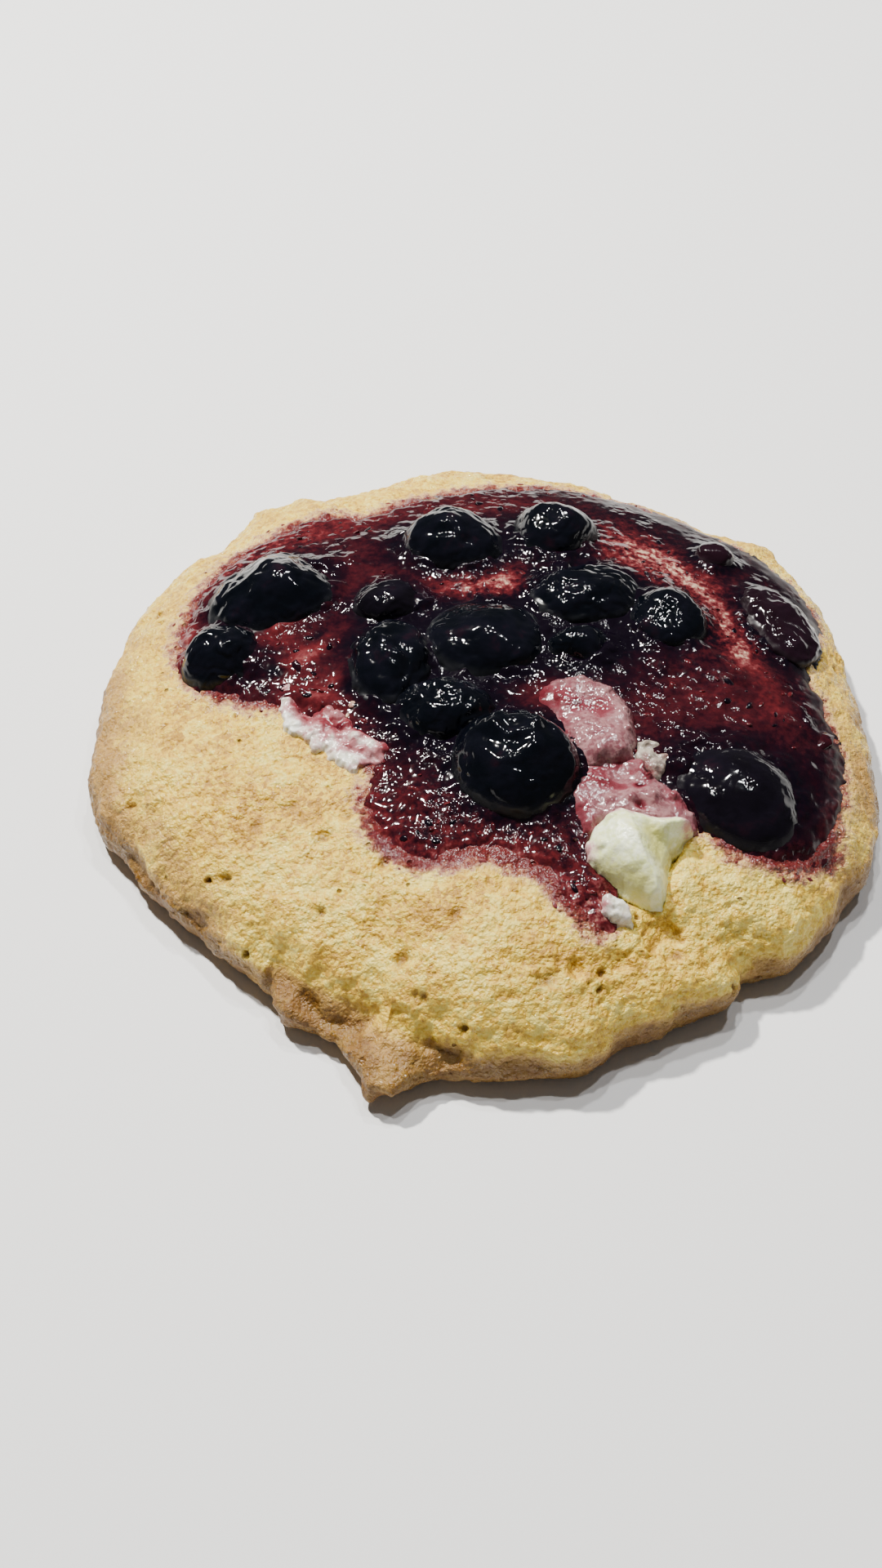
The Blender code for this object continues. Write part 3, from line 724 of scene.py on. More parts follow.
def makeCheeseMaterial(name, clean, stains, wetness):
    look = {"roughness": 0.46, "wetGloss": 0.10, "bump": 0.00024, "hollow": (0.62, 0.60, 0.17),
            "soft": (0.12, (1.0, 0.8, 0.55), 0.0008), "driftScale": 560.0}
    material, tree, shader = newMaterial(name)
    place = objectPlace(tree)
    grain = useGroup(crumbGrain, place, Grain=1700.0)
    base = blendColour(ramped(grain["Mottle"], 0.40, 0.60), *clean)
    # painted shade: the valleys are blended towards a darker yellow-green
    base = blendColour(valueOf(tree, "hollow"), base, look["hollow"])
    drift = noiseOf(place, look["driftScale"], 4.0, 0.66)
    stain = plus(valueOf(tree, "stain"), about(drift, 0.9))
    tint = colourRamp(stain, tuple(zip((0.10, 0.36, 0.62, 0.92), stains)))
    plug(shader.inputs["Base Color"], blendColour(ramped(stain, 0.06, 0.34), base, tint))
    wet = useGroup(wetRelief, place, Size=1150.0, Patch=330.0)
    dryness = look["roughness"] - wetness
    plug(shader.inputs["Roughness"], minus(dryness, times(wet["Gathered"], look["wetGloss"])))
    height = plus(times(grain["Height"], dryness), times(wet["Height"], 2.8 * wetness))
    addBump(shader, height, look["bump"])
    setSoft(shader, *look["soft"])
    return material


doughMaterial = makeDoughMaterial()
jamMaterial = makeJamMaterial()
berryMaterial = makeBerryMaterial()
cheeseMaterials = {name: makeCheeseMaterial(name, **look) for name, look in cheeseLooks.items()}
print("materials made")


def makeCrustTree():
    # swellings, crumb, dimples and torn pores of the bare dough
    tree, given, end = shapeTree("doughCrust", {
        "Swell height": 0.00042, "Swell size": 0.0062, "Lump height": 0.00036, "Lump size": 0.0025,
        "Crumb height": 0.00023, "Crumb size": 0.0011,
        "Dimple density": 30000.0, "Dimple depth": 0.00022, "Dimple reach": 0.0011,
        "Pore density": 9000.0, "Pore depth": 0.0006, "Small pore": 0.0004, "Large pore": 0.0009,
        "Seed": 4, "Material": doughMaterial})
    place, normal = placeOf(tree), normalOf(tree)
    height = addNode(tree, "ShaderNodeSeparateXYZ", {0: place}).outputs["Z"]
    bare = ramped(attribute(tree, "jamInset"), 1.2, -0.6)
    mask = times(bare, ramped(height, 0.0002, 0.0018))
    relief = reduce(plus, [about(lumps(place, given[part + " size"], 3.0, 0.55),
                                 times(given[part + " height"], noiseSpread))
                           for part in ("Swell", "Lump", "Crumb")])

    def scattered(density, seed):
        return addNode(tree, "GeometryNodeDistributePointsOnFaces", {
            "Mesh": given["Geometry"], "Selection": calc("GREATER_THAN", mask, 0.9),
            "Density": density, "Seed": seed}, distribute_method="RANDOM").outputs["Points"]

    def awayFrom(spots):
        near = addNode(tree, "GeometryNodeProximity", {0: spots}, target_element="POINTS")
        return near.outputs["Distance"]

    dimples = awayFrom(scattered(given["Dimple density"], plus(given["Seed"], 7)))
    dimple = ramped(calc("DIVIDE", dimples, given["Dimple reach"]), 0.0, 1.0, 1.0, 0.0)
    relief = minus(relief, times(dimple, given["Dimple depth"]))

    spots = scattered(given["Pore density"], given["Seed"])
    girth = randomBetween(tree, given["Small pore"], given["Large pore"])
    nearest = addNode(tree, "GeometryNodeSampleNearest", {"Geometry": spots}, domain="POINT")
    radius = addNode(tree, "GeometryNodeSampleIndex", {
        "Geometry": spots, "Value": girth, "Index": nearest.outputs[0]},
        data_type="FLOAT", domain="POINT").outputs[0]
    away = times(awayFrom(spots), plus(0.35, times(noiseOf(place, 1500.0), 1.3)))
    pit = times(ramped(calc("DIVIDE", away, radius), 0.35, 1.0, 1.0, 0.0), mask)
    relief = times(relief, mask)
    relief = minus(relief, times(pit, given["Pore depth"]))
    kept = store(given["Geometry"], "pore", calc("MAXIMUM", pit, attribute(tree, "pore")))
    return endTree(end, pushAlong(kept, normal, relief), given["Material"])


dough = {
    "name": "cookieDough", "voxel": 0.64, "smoothing": 3,
    "grooveSmoothing": 70, "grooveDepth": 0.75, "lipHeight": 0.45, "bandRadius": 47,
    # shares of the radius where the rim, the wide rim and the rolls begin, and their spans
    "rim": (0.84, 0.14), "wideRim": (0.76, 0.2), "rollRim": (0.60, 0.2),
    # how dark the low rim (real browning and painted shade), its front (painted shade), the flap
    # (browned) and the wide rim at the darker parts are
    "low": 0.36, "front": 0.66, "flapBrown": 0.62, "toastAndShadeRim": 0.60,
    # how much narrower the soaked edge is at the thick side
    "thickSoak": 1.3,
    # the edge's own wandering: angle, push outwards
    "wander": {
        0: 0.1, 11: -0.3, 15: 0.1, 20: -0.3, 25: 0.2, 32: -0.2, 34: -0.1, 38: -0.2, 41: 0.5,
        43: -0.2, 49: -0.5, 54: 0.2, 55: -0.2, 61: 0.0, 65: -0.4, 70: 0.3, 74: 0.4, 77: -0.4,
        79: -0.5, 84: 0.0, 90: 0.1, 96: 0.4, 98: 0.3, 101: 0.4, 105: -0.3, 112: -0.4, 115: -0.6,
        117: -1.0, 118: -1.0, 120: 0.4, 122: -0.1, 124: -0.2, 126: 0.5, 127: 0.6, 128: 0.1,
        131: -0.4, 135: -0.3, 136: -0.6, 138: -0.7, 141: -0.2, 150: -0.2, 154: 0.1, 162: -0.4,
        168: 0.2, 174: 0.0, 176: -0.2, 180: -0.2, 185: 0.2, 189: 0.1, 192: -0.3, 195: 0.0,
        201: -0.9, 207: -0.3, 210: -0.4, 214: -0.1, 219: -0.4, 224: -0.1, 229: -0.3, 233: -0.1,
        235: -0.5, 239: 0.4, 240: 0.4, 242: -0.1, 246: 0.2, 248: 0.0, 250: 0.2, 251: 0.0, 253: 0.2,
        255: 1.2, 256: 0.8, 259: 0.5, 261: -0.4, 262: -0.5, 266: -0.4, 270: -0.1, 276: -0.3,
        278: -0.2, 283: 0.8, 287: 0.2, 289: -0.6, 291: -0.7, 296: 0.2, 299: 0.0, 303: 0.5, 307: 0.7,
        308: 0.3, 309: -0.6, 311: -1.4, 312: -1.5, 317: 0.4, 320: 0.6, 325: 0.1, 327: 0.1,
        329: -0.4, 332: -0.7, 336: 0.2, 340: 0.1, 344: 0.2, 345: 0.0, 350: 0.1, 353: -0.1, 356: 0.2},
    # soft folds along the sides: size along, size across, depth
    "folds": (8.0, 2.4, 0.5),
    # torn pits: x, y, half width, half depth, turn, depth
    "pits": (
        (-18.3, -20.4, 0.9, 0.6, 20, 0.8), (-29.3, -23.9, 1.1, 0.5, -12, 0.8),
        (-41.3, -12.4, 0.8, 0.5, 0, 0.6), (-9.4, -35.3, 0.8, 0.6, 60, 0.7),
        (6.6, -38.5, 1.1, 0.6, 25, 0.6), (-6.8, -39.6, 0.7, 0.5, 0, 0.5),
        (-19.6, -14.6, 1.3, 0.8, 10, 0.3), (-22.0, -16.4, 0.7, 0.4, 0, 0.4),
        (-15.4, -18.0, 0.6, 0.5, 30, 0.5), (-26.0, -18.4, 0.6, 0.4, 0, 0.4),
        (-3.0, -31.0, 0.7, 0.4, 15, 0.5), (21.0, -34.0, 0.7, 0.4, 0, 0.5)),
    # wide hollows, the same way
    "hollows": (
        (19.8, -31.6, 2.2, 1.6, 15, 0.9), (14.2, -35.6, 2.4, 1.2, 10, 0.5),
        (4.0, -36.4, 2.6, 1.0, -10, 0.4), (27.0, -31.8, 3.0, 1.2, 20, 0.5),
        (-44.0, -1.0, 1.2, 2.6, 0, 0.5), (-40.0, -19.0, 1.0, 3.0, 25, 0.5),
        (-33.0, -26.0, 3.4, 1.0, -40, 0.5)),
    # x, y, reach, rise
    "blister": (9.9, -37.0, 1.3, 0.35),
    # the flap spread at the front left: the groove behind it and the raised lip on it
    "groove": (
        (-24.9, -30.8), (-22.1, -34.7), (-19.7, -37.0), (-17.8, -38.9), (-14.7, -39.8),
        (-11.7, -39.4), (-9.6, -40.7), (-7.2, -42.6), (-3.9, -44.4)),
    "lip": ((-27.7, -29.2), (-24.7, -32.6), (-23.0, -36.2), (-20.1, -39.0)),
    "flap": (
        (-5, -44.0), (-9.8, -41.0), (-14.5, -40.2), (-19.5, -37.4), (-24, -32.5), (-40, -40),
        (-20, -60), (0, -60)),
    # paler places above 0 and more golden ones below: x, y, half width, half depth, turn, amount
    "paleness": (
        (-38, 14, 12, 24, 15, -0.045), (24, -27, 14, 8, 15, 0.045), (31, -31, 7, 5, 20, 0.035),
        (44, -4, 5, 22, 0, -0.03), (-19, -22, 7, 5, 0, 0.015), (-34, -8, 6, 10, 0, 0.015),
        (0, -38, 14, 5, 0, 0.03), (0, 44, 30, 6, 0, -0.01), (-30, -18, 8, 5, 20, -0.02),
        (20, -36, 12, 4, 10, -0.02), (-19, -17, 3.5, 2.0, 20, -0.05),
        (-24, -13.6, 2.4, 1.4, 0, -0.04), (-11, -25, 3.4, 1.5, 10, -0.04),
        (9.5, -36.5, 3, 1.5, 0, -0.05), (-3, -31, 4, 1.4, 10, -0.04), (-33, -20, 3, 1.8, 0, -0.04),
        (22, -31, 4, 1.8, 0, -0.03)),
    # darker parts of the rim, partly real toasting and partly painted shade: angle, half width,
    # amount
    "toastAndShade": (
        (41.5, 9, 0.35), (122, 10, 0.5), (150, 14, 0.3), (352, 28, 0.85), (186, 28, 0.95),
        (222, 18, 0.3), (290, 40, 0.2)),
    # where the soaked edge is wider: x, y, half width, half depth, turn, mm
    "soaked": (
        (2, -25, 9, 3.0, -8, 1.6), (-9, -21, 5, 3, -30, 1.3), (9.5, -29, 3.5, 4, 0, 1.2),
        (39, -20, 4, 3, 30, 1.8), (30, -23, 6, 2, 15, 0.8)),
    # long low folds beside the front edge: size along, size across, height
    "rolls": (9.0, 2.7, 0.42),
    # round nubs on the edge: x, y, z, radius, height
    "nubs": (
        (-12.8, -47.3, 1.6, 1.1, 0.9), (26.9, -34.7, 4.2, 1.6, 0.9), (-26.9, -30.6, 3.4, 2.0, 0.4)),
}


def smoothVerts(mesh, verts):
    bmesh.ops.smooth_vert(mesh, verts=verts, factor=0.5, use_axis_x=True, use_axis_y=True,
                          use_axis_z=True)


def copyCookie():
    # the solid's own form, rounded and laid out in even faces
    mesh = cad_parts["cookie"].data.copy()
    piece = addObject(dough["name"], mesh)
    form = bmesh.new()
    form.from_mesh(mesh)
    bmesh.ops.remove_doubles(form, verts=form.verts, dist=1e-6)
    bmesh.ops.join_triangles(form, faces=form.faces, angle_face_threshold=0.7,
                             angle_shape_threshold=1.2)
    form.to_mesh(mesh)
    form.free()
    rounding = piece.modifiers.new("rounding", "SUBSURF")
    rounding.levels = rounding.render_levels = 2
    weave = piece.modifiers.new("evenFaces", "REMESH")
    weave.mode = "VOXEL"
    weave.voxel_size = dough["voxel"] * mm
    bakeModifiers(piece)
    return piece


def refineCookie(piece):
    # finer faces where the dough shows, one flat face below, and a smooth groove
    points = placesOf(piece)
    shown = (points[:, 2] > 0.3) & (jamInset(points[:, 0], points[:, 1]) < 1.2)
    mesh = bmesh.new()
    mesh.from_mesh(piece.data)
    mesh.verts.ensure_lookup_table()
    base = [face for face in mesh.faces
            if all(abs(v.co.z) < 2e-5 and v.co.xy.length < 0.038 for v in face.verts)]
    edges = [edge for edge in mesh.edges if all(shown[vert.index] for vert in edge.verts)]
    bmesh.ops.subdivide_edges(mesh, edges=edges, cuts=1, use_grid_fill=True)
    base = [face for face in base if face.is_valid]
    flat = bmesh.ops.dissolve_faces(mesh, faces=base, use_verts=True)["region"]
    bmesh.ops.poke(mesh, faces=flat)
    for _ in range(dough["smoothing"]):
        smoothVerts(mesh, [vert for vert in mesh.verts if vert.co.z > 0.0004])
    points = np.array([vert.co[:] for vert in mesh.verts]) / mm - cookieShift
    creased = (trackAway(points[:, 0], points[:, 1], dough["groove"]) < 2.8) & (points[:, 2] > 1.5)
    creased = [vert for vert, chosen in zip(mesh.verts, creased) if chosen]
    for _ in range(dough["grooveSmoothing"]):
        smoothVerts(mesh, creased)
    mesh.to_mesh(piece.data)
    mesh.free()


def makeDough():
    piece = copyCookie()
    refineCookie(piece)
    points = placesOf(piece)
    x, y, z = points.T
    degrees = np.degrees(np.arctan2(y, x)) % 360
    share = np.hypot(x, y) / (dome["edge"] + lobePush(dome["lobes"], degrees))
    rim = eased(share, *dough["rim"])
    reach = ringReach(dough["wander"], degrees) * rim
    points[:, 0] += reach * np.cos(np.radians(degrees))
    points[:, 1] += reach * np.sin(np.radians(degrees))
    movePoints(piece, points)

    normals = normalsOf(piece)
    x, y, z = points.T
    inset = jamInset(x, y)
    pore = np.zeros_like(x)
    top = normals[:, 2] > 0.1
    along, across, depth = dough["folds"]
    around = np.radians(degrees) * dough["bandRadius"]
    bands = np.stack((around, np.hypot(x, y) + 1.4 * z, z), axis=1)
    side = rim * eased(z, 10, -3) * smooth01(z / 1.2)
    push = -depth * side * np.abs(noiseAt(bands, (along, across, across * 1.6), 3))
    push += 0.35 * depth * side
    along, across, height = dough["rolls"]
    rolling = eased(share, *dough["rollRim"]) * eased(y, 4, -20) * top * eased(-inset, 1.5, 3)
    push += height * rolling * noiseAt(bands, (along, across, 6.0), 15)
    for pitX, pitY, halfWidth, halfDepth, turn, depth in dough["pits"] + dough["hollows"]:
        beside, ahead = turned(x, y, pitX, pitY, turn)
        span = (beside / halfWidth) ** 2 + (ahead / halfDepth) ** 2
        near = span < 16
        torn = np.ones_like(x)
        torn[near] += 1.1 * noiseAt(points[near], 0.9, 11)
        pit = np.exp(-span * torn) * top * near
        push -= depth * pit
        # the small ones get a pore mark, which the colour darkens inside as painted shade
        if halfWidth < 1.3 and halfDepth < 0.8:   # the small ones are torn pores
            pore = np.maximum(pore, pit)
    blisterX, blisterY, blisterReach, blisterRise = dough["blister"]
    away = np.hypot(x - blisterX, (y - blisterY) * 0.8) * top + farOff * ~top
    ring, hollow = np.exp(-((away - blisterReach) / 0.4) ** 2), np.exp(-(away / 0.9) ** 2)
    push += blisterRise * ring - 0.5 * hollow
    wavy = 0.9 * noiseAt(points, 3.0, 5)
    facing = smooth01((normals[:, 2] + 0.1) / 0.4)
    groove = np.exp(-(np.maximum(trackAway(x, y, dough["groove"]) + wavy, 0) / 0.95) ** 2) * facing
    lip = np.exp(-(np.maximum(trackAway(x, y, dough["lip"]) + wavy, 0) / 1.2) ** 2) * facing
    push += dough["lipHeight"] * lip - dough["grooveDepth"] * groove
    for nubX, nubY, nubZ, reach, height in dough["nubs"]:
        push += height * np.exp(-((x - nubX) ** 2 + (y - nubY) ** 2 + (z - nubZ) ** 2) / reach ** 2)
    points += normals * push[:, None]
    points[:, 2] = np.maximum(points[:, 2], 0.0)
    movePoints(piece, points)

    # painted shade: the low rim, most of all at the front, is darkened in colour along with the real
    # browning of the rim and the flap
    low = eased(z, 7.0, -5) * rim
    front = eased(y * -0.9 - x * 0.2, 4, 22)
    flap = smooth01(outlineInset(x, y, dough["flap"]) / 3.0 + 0.2)
    # the darker rim parts are partly real toasting and partly painted shade
    toastAndShade = lobePush(dough["toastAndShade"], degrees)
    patchy = 1 + 0.9 * noiseAt(points, 5.0, 9)
    browningAndShade = low * (dough["low"] + dough["front"] * front + toastAndShade) * patchy
    browningAndShade += dough["flapBrown"] * flap * rim * patchy
    wideRim = eased(share, *dough["wideRim"])
    browningAndShade += dough["toastAndShadeRim"] * toastAndShade * wideRim * (0.4 + 0.6 * patchy)
    setValues(piece, "browningAndShade", np.clip(browningAndShade, 0, 0.95))
    setValues(piece, "pore", pore)
    setValues(piece, "jamInset", inset)
    soakInset = inset - dough["thickSoak"] * thickSide(x, y) * eased(y, -22, 8)
    setValues(piece, "soakInset", soakInset + patchSum(x, y, dough["soaked"]))
    setValues(piece, "paleness", patchSum(x, y, dough["paleness"]))
    # crumb, pores and dimples
    useTree(piece, makeCrustTree())
    finishPiece(piece, "dough", ["cookie"])
    return piece


doughPiece = makeDough()


def makeJamTree():
    tree, given, end = shapeTree("jamSurface", {
        "Lip under": -0.0005, "Lip over": 0.00004, "Thick lip": 0.0003, "Swell": 0.0009,
        "Edge wander": 0.0020, "Ragged height": 0.0005,
        "Lump height": 0.00046, "Lump size": 0.0030, "Pulp height": 0.00020, "Pulp size": 0.0014,
        "Film rise": 0.0007, "Film reach": 0.0024, "Material": jamMaterial})
    place = placeOf(tree)
    thick, bare = attribute(tree, "thick"), minus(1.0, attribute(tree, "flat"))
    # the edge wanders, more finely where the jam is thin
    fine = about(noiseOf(place, 1100.0), minus(1.0, times(thick, 0.8)))
    wander = plus(about(noiseOf(place, 380.0, 1.0), 1.6), fine)
    inset = plus(times(attribute(tree, "jamInset"), mm), times(wander, given["Edge wander"]))
    lip = ramped(inset, -0.0014, 0.0014, given["Lip under"],
                 plus(given["Lip over"], times(times(thick, bare), given["Thick lip"])))
    ragged = about(noiseOf(place, 900.0, 3.0), given["Ragged height"])
    ragged = times(times(ragged, bare), ramped(inset, 0.003, 0.0))
    swell = ramped(inset, -0.0006, 0.0070, 0.0, times(given["Swell"], bare))
    # lumps and pulp, higher in some patches
    calm = minus(1.0, attribute(tree, "calm"))
    waves = []
    for part, patch in (("Lump", 150.0), ("Pulp", 300.0)):
        wave = minus(lumps(place, given[part + " size"], 1.0, 0.4), 0.38)
        wave = times(wave, times(given[part + " height"], noiseSpread))
        waves.append(times(wave, ramped(noiseOf(place, patch), 0.38, 0.62, 0.3, 1.2)))
    rough = times(plus(*waves), times(times(ramped(inset, -0.0006, 0.0008), calm), bare))
    # the film that climbs the berries
    away = plus(times(attribute(tree, "berryAway"), mm), about(noiseOf(place, 520.0), 0.0022))
    film = calc("DIVIDE", calc("MAXIMUM", away, 0.0), given["Film reach"])
    film = times(calc("POWER", minus(1.0, calc("MINIMUM", film, 1.0)), 2.0), given["Film rise"])
    film = times(film, times(calm, ramped(noiseOf(place, 330.0), 0.38, 0.60, 0.35, 1.1)))
    total = plus(plus(lip, swell), plus(plus(rough, ragged), film))
    total = times(total, attribute(tree, "surface"))
    up = addNode(tree, "ShaderNodeCombineXYZ", {"Z": 1.0}).outputs[0]
    return endTree(end, pushAlong(given["Geometry"], up, total), given["Material"])


jamTones = {
    "base": 0.31, "edge": 0.13, "berrySide": -0.20, "thick": -0.05, "berryReach": 1.8,
    # where the edges' tones begin, and over what span they come in full, in mm from the edge
    "edgeReach": (3, -3), "thickReach": (7, -5), "dullReach": (3.0, -2),
    # x, y, half width, half depth, turn, push: dark patches below 0, thin and red ones above
    "patches": (
        (0.7, 7.3, 10, 7, 0, -0.26), (-9, 1, 8, 8, 0, -0.2), (-5, -5, 7, 5, 0, -0.24),
        (13, 13, 11, 7, 0, -0.28), (11, 5, 8, 5, 0, -0.24), (28, -13, 7, 6, 0, -0.06),
        (28, -3, 9, 6, 0, 0.08), (33, -22, 6, 3, 20, 0.06), (-20, 6, 3.6, 1.2, 50, 0.26),
        (-24.4, 10.4, 4.0, 1.3, 40, 0.34), (-22.4, 4.6, 2.8, 1.2, 30, 0.24),
        (-16.6, 2.6, 3.2, 1.1, 60, 0.2), (-20.5, -0.6, 3.0, 1.0, -30, 0.16),
        (-24.6, 3.0, 1.0, 0.8, 0, -0.5), (-19.6, 8.2, 1.2, 0.6, 60, -0.3),
        (-15.6, -0.4, 0.9, 0.7, 0, -0.3), (22, 30, 13, 4, -25, -0.14), (37, 14, 6, 8, 0, -0.04),
        (9, 27, 8, 6, 0, -0.12), (-4, 25, 8, 6, 0, -0.1), (4, -12, 9, 9, 0, -0.14),
        (38, -8, 4, 10, 0, -0.08), (-18.4, 1.4, 5, 4.0, 0, 0.12), (-24, 8.5, 4.5, 2.2, 30, 0.28),
        (-2.8, 32.5, 9, 2.6, 5, 0.14), (6.6, 34.3, 7, 2, 0, 0.1), (-1.0, 16.2, 5.5, 2.2, 0, 0.44),
        (3.2, 17.4, 2.2, 2.4, 0, 0.4), (-8.6, -19.4, 7, 5, 0, 0.08), (0.5, -24, 8, 4, -10, 0.09),
        (7.7, -26, 5, 4, -30, 0.1), (12.5, -32.4, 3, 4, 0, 0.26), (8.0, -1.4, 4, 3, 0, 0.3),
        (-14.5, 16.5, 4, 3, 40, 0.16), (16.6, 26.2, 7, 4.4, -30, 0.25),
        (22, 21.6, 6.5, 4.8, -40, 0.22), (27, 16.0, 6, 3.8, -50, 0.21),
        (20.6, 24.6, 6, 1.0, -38, 0.16), (25.2, 19.6, 6, 0.9, -48, 0.2),
        (18.4, 21.8, 4, 1.0, -30, 0.15), (24.4, 23.4, 4, 0.9, -40, 0.16),
        (29.8, 11.0, 6, 1.6, -65, 0.34), (31.0, 6.2, 1.8, 2.2, 0, 0.42),
        (34.6, 0.5, 1.6, 6.0, 10, 0.16), (29.6, 14.6, 3, 0.9, -60, 0.16),
        (29.6, -2.8, 7, 5, 0, 0.04), (-30, 20, 5, 8, 40, 0.22), (-26, 28, 9, 2.6, 25, 0.18),
        (-36, 9, 2.5, 6, 0, 0.34), (-19, 28.5, 6, 1.6, 20, 0.2), (-16.5, -2.5, 6, 1.8, -38, 0.2)),
    # where the tone is grainy
    "grit": (
        (22, 21.6, 12, 5, -45, 0.6), (29.6, 9, 5, 4, 0, 0.5), (-4, -22, 14, 6, -10, 0.3),
        (12, -30, 4, 5, 0, 0.4), (-28, 26, 12, 5, 30, 0.3), (1, 16.5, 6, 3, 0, 0.5)),
    # duller down the right edge
    "dull": ((41, -8, 4, 13, 0, 0.20),),
    # the smooth, thick jam
    "calm": (
        (31, -14, 9, 9, 0, 0.35), (-4, -22, 13, 6, -10, 0.6), (12, -30, 4, 5, 0, 0.5),
        (9, -2, 8, 6, 0, 0.3), (24, 31, 12, 3.5, -25, 0.3), (37, 13, 5, 6, 0, 0.4),
        (0.7, 9, 6, 5, 0, 0.5), (-18, 5, 7, 4, -20, 0.35), (-24, 9, 6, 4, 30, 0.4),
        (14, 12, 9, 6, 0, 0.45), (28, -2, 8, 6, 0, 0.2), (-28, 25, 12, 5, 30, 0.5),
        (-14, 12, 6, 8, 0, 0.35), (-4, 33, 14, 4, 0, 0.4), (38, -12, 4, 12, 0, 0.15)),
}


def makeJam():
    def insetNear(x, y):
        near = np.hypot(x - jam["middle"][0], y - jam["middle"][1]) < jam["farthest"]
        inset = np.full(x.shape, -farOff)
        inset[near] = jamInset(x[near], y[near])
        return inset

    piece = meshSheet("jamLayer", jam["box"], jam["grid"],
                      lambda x, y: insetNear(x, y) > -jam["overlap"], domeHeight, jam["skirt"])
    x, y = placesOf(piece).T[:2]
    inset = jamInset(x, y)
    away = berryDistance(x, y)
    thick = thickSide(x, y)
    tone = jamTones["base"] + patchSum(x, y, jamTones["patches"])
    tone += jamTones["edge"] * (1 - thick) * eased(inset, *jamTones["edgeReach"])
    tone += jamTones["thick"] * thick * eased(inset, *jamTones["thickReach"])
    tone += jamTones["berrySide"] * np.exp(-(np.maximum(away, 0) / jamTones["berryReach"]) ** 2)
    # the far slope stays even, as its small waves would mirror the floor
    flat = 0.80 * eased(np.hypot(x, y), 26, 9) * eased(y + 0.35 * x, 8, 14)
    values = {
        "jamInset": inset, "berryAway": away, "thick": thick, "flat": flat, "tone": tone,
        "grit": np.clip(patchSum(x, y, jamTones["grit"]), 0, 1),
        "calm": np.clip(patchSum(x, y, jamTones["calm"]), 0, 0.85),
        "dull": patchSum(x, y, jamTones["dull"]) * eased(inset, *jamTones["dullReach"]),
    }
    for name, amounts in values.items():
        setValues(piece, name, amounts)
    useTree(piece, makeJamTree())
    finishPiece(piece, "jam", ["jam"])
    return piece


jamPiece = makeJam()


def makeScatterTree():
    # small flattened bits laid where the chosen value lies between two limits
    tree, given, end = shapeTree("pulpFlecks", {
        "Density": 40000.0, "Seed": 3, "Smallest": 0.3, "Largest": 1.0, "From": 0.3, "To": 9.0,
        "Sink": 0.0001, "Tone": 0.06, "Material": jamMaterial})
    value = attribute(tree, "laidBy")
    chosen = times(calc("GREATER_THAN", value, given["From"]), calc("LESS_THAN", value, given["To"]))
    spread = addNode(tree, "GeometryNodeDistributePointsOnFaces", {
        "Mesh": given["Geometry"], "Selection": chosen, "Density": given["Density"],
        "Seed": given["Seed"]}, distribute_method="RANDOM").outputs
    ball = addNode(tree, "GeometryNodeMeshUVSphere", {"Segments": 8, "Rings": 5, "Radius": 0.0005})
    bit = addNode(tree, "GeometryNodeTransform", {
        "Geometry": ball.outputs[0], "Scale": (2.2, 1.2, 0.45)}).outputs[0]
    turn = addNode(tree, "FunctionNodeRandomValue", {0: (0.0, 0.0, 0.0), 1: (0.5, 0.5, 6.28)},
                   data_type="FLOAT_VECTOR")
    turn = addNode(tree, "FunctionNodeRotateRotation", {
        0: spread["Rotation"], 1: pick(turn.outputs, "Value")}, rotation_space="LOCAL").outputs[0]
    placed = addNode(tree, "GeometryNodeInstanceOnPoints", {
        "Points": spread["Points"], "Instance": store(bit, "tone", given["Tone"]), "Rotation": turn,
        "Scale": randomBetween(tree, given["Smallest"], given["Largest"], 5)}).outputs[0]
    down = addNode(tree, "ShaderNodeCombineXYZ", {"Z": times(given["Sink"], -1.0)}).outputs[0]
    lowered = addNode(tree, "GeometryNodeTranslateInstances", {
        "Instances": placed, "Translation": down}).outputs[0]
    return endTree(end, lowered, given["Material"])


# on: what carries the bits; by: the value that places them; within: x, y and radius of a round place
flecks = {
    "darkSkinFlecks": {"on": jamPiece, "by": "tone", "Density": 60000.0, "From": 0.34, "To": 0.80,
                       "Smallest": 0.25, "Largest": 0.8},
    "redPulpFlecks": {"on": jamPiece, "by": "tone", "Density": 90000.0, "From": 0.28, "To": 1.5,
                      "Smallest": 0.25, "Largest": 0.7, "Seed": 8, "Tone": 0.52},
    "paleBits": {"on": jamPiece, "by": "jamInset", "within": (-15, -7.5, 5), "Density": 90000.0,
                 "From": 0.6, "To": 4.0, "Smallest": 0.3, "Largest": 0.9, "Seed": 21, "Tone": 0.93},
    "jamLobes": {"on": jamPiece, "by": "jamInset", "within": (37, -8, 13), "Density": 70000.0,
                 "From": 1.0, "To": 3.0, "Smallest": 1.6, "Largest": 2.6, "Seed": 12, "Tone": 0.26,
                 "Sink": 0.00030},
    "tornSkins": {"on": jamPiece, "by": "tone", "within": (-21, 3, 6), "Density": 26000.0,
                  "From": 0.3, "To": 1.5, "Smallest": 1.5, "Largest": 2.6, "Seed": 5, "Tone": 0.24,
                  "Sink": 0.00034},
    "strayPulp": {"on": doughPiece, "by": "soakInset", "Density": 110000.0, "From": -2.0, "To": -0.3,
                  "Smallest": 0.2, "Largest": 0.5, "Seed": 6, "Tone": 0.72, "Sink": 0.00003},
}


def scatterFlecks():
    tree = makeScatterTree()
    for name, bits in flecks.items():
        piece = addObject(name, bits["on"].data.copy())
        laidBy = valuesOf(piece, bits["by"])
        if bits["on"] is jamPiece:
            barred = (valuesOf(piece, "surface") < 0.5) | (valuesOf(piece, "jamInset") < 0.8)
        else:
            barred = normalsOf(piece)[:, 2] < 0.3
        if "within" in bits:
            middleX, middleY, reach = bits["within"]
            x, y = placesOf(piece).T[:2]
            barred |= np.hypot(x - middleX, y - middleY) > reach
        laidBy[barred] = -farOff
        setValues(piece, "laidBy", laidBy)
        useTree(piece, tree, bits)
        finishPiece(piece, "jam")


scatterFlecks()


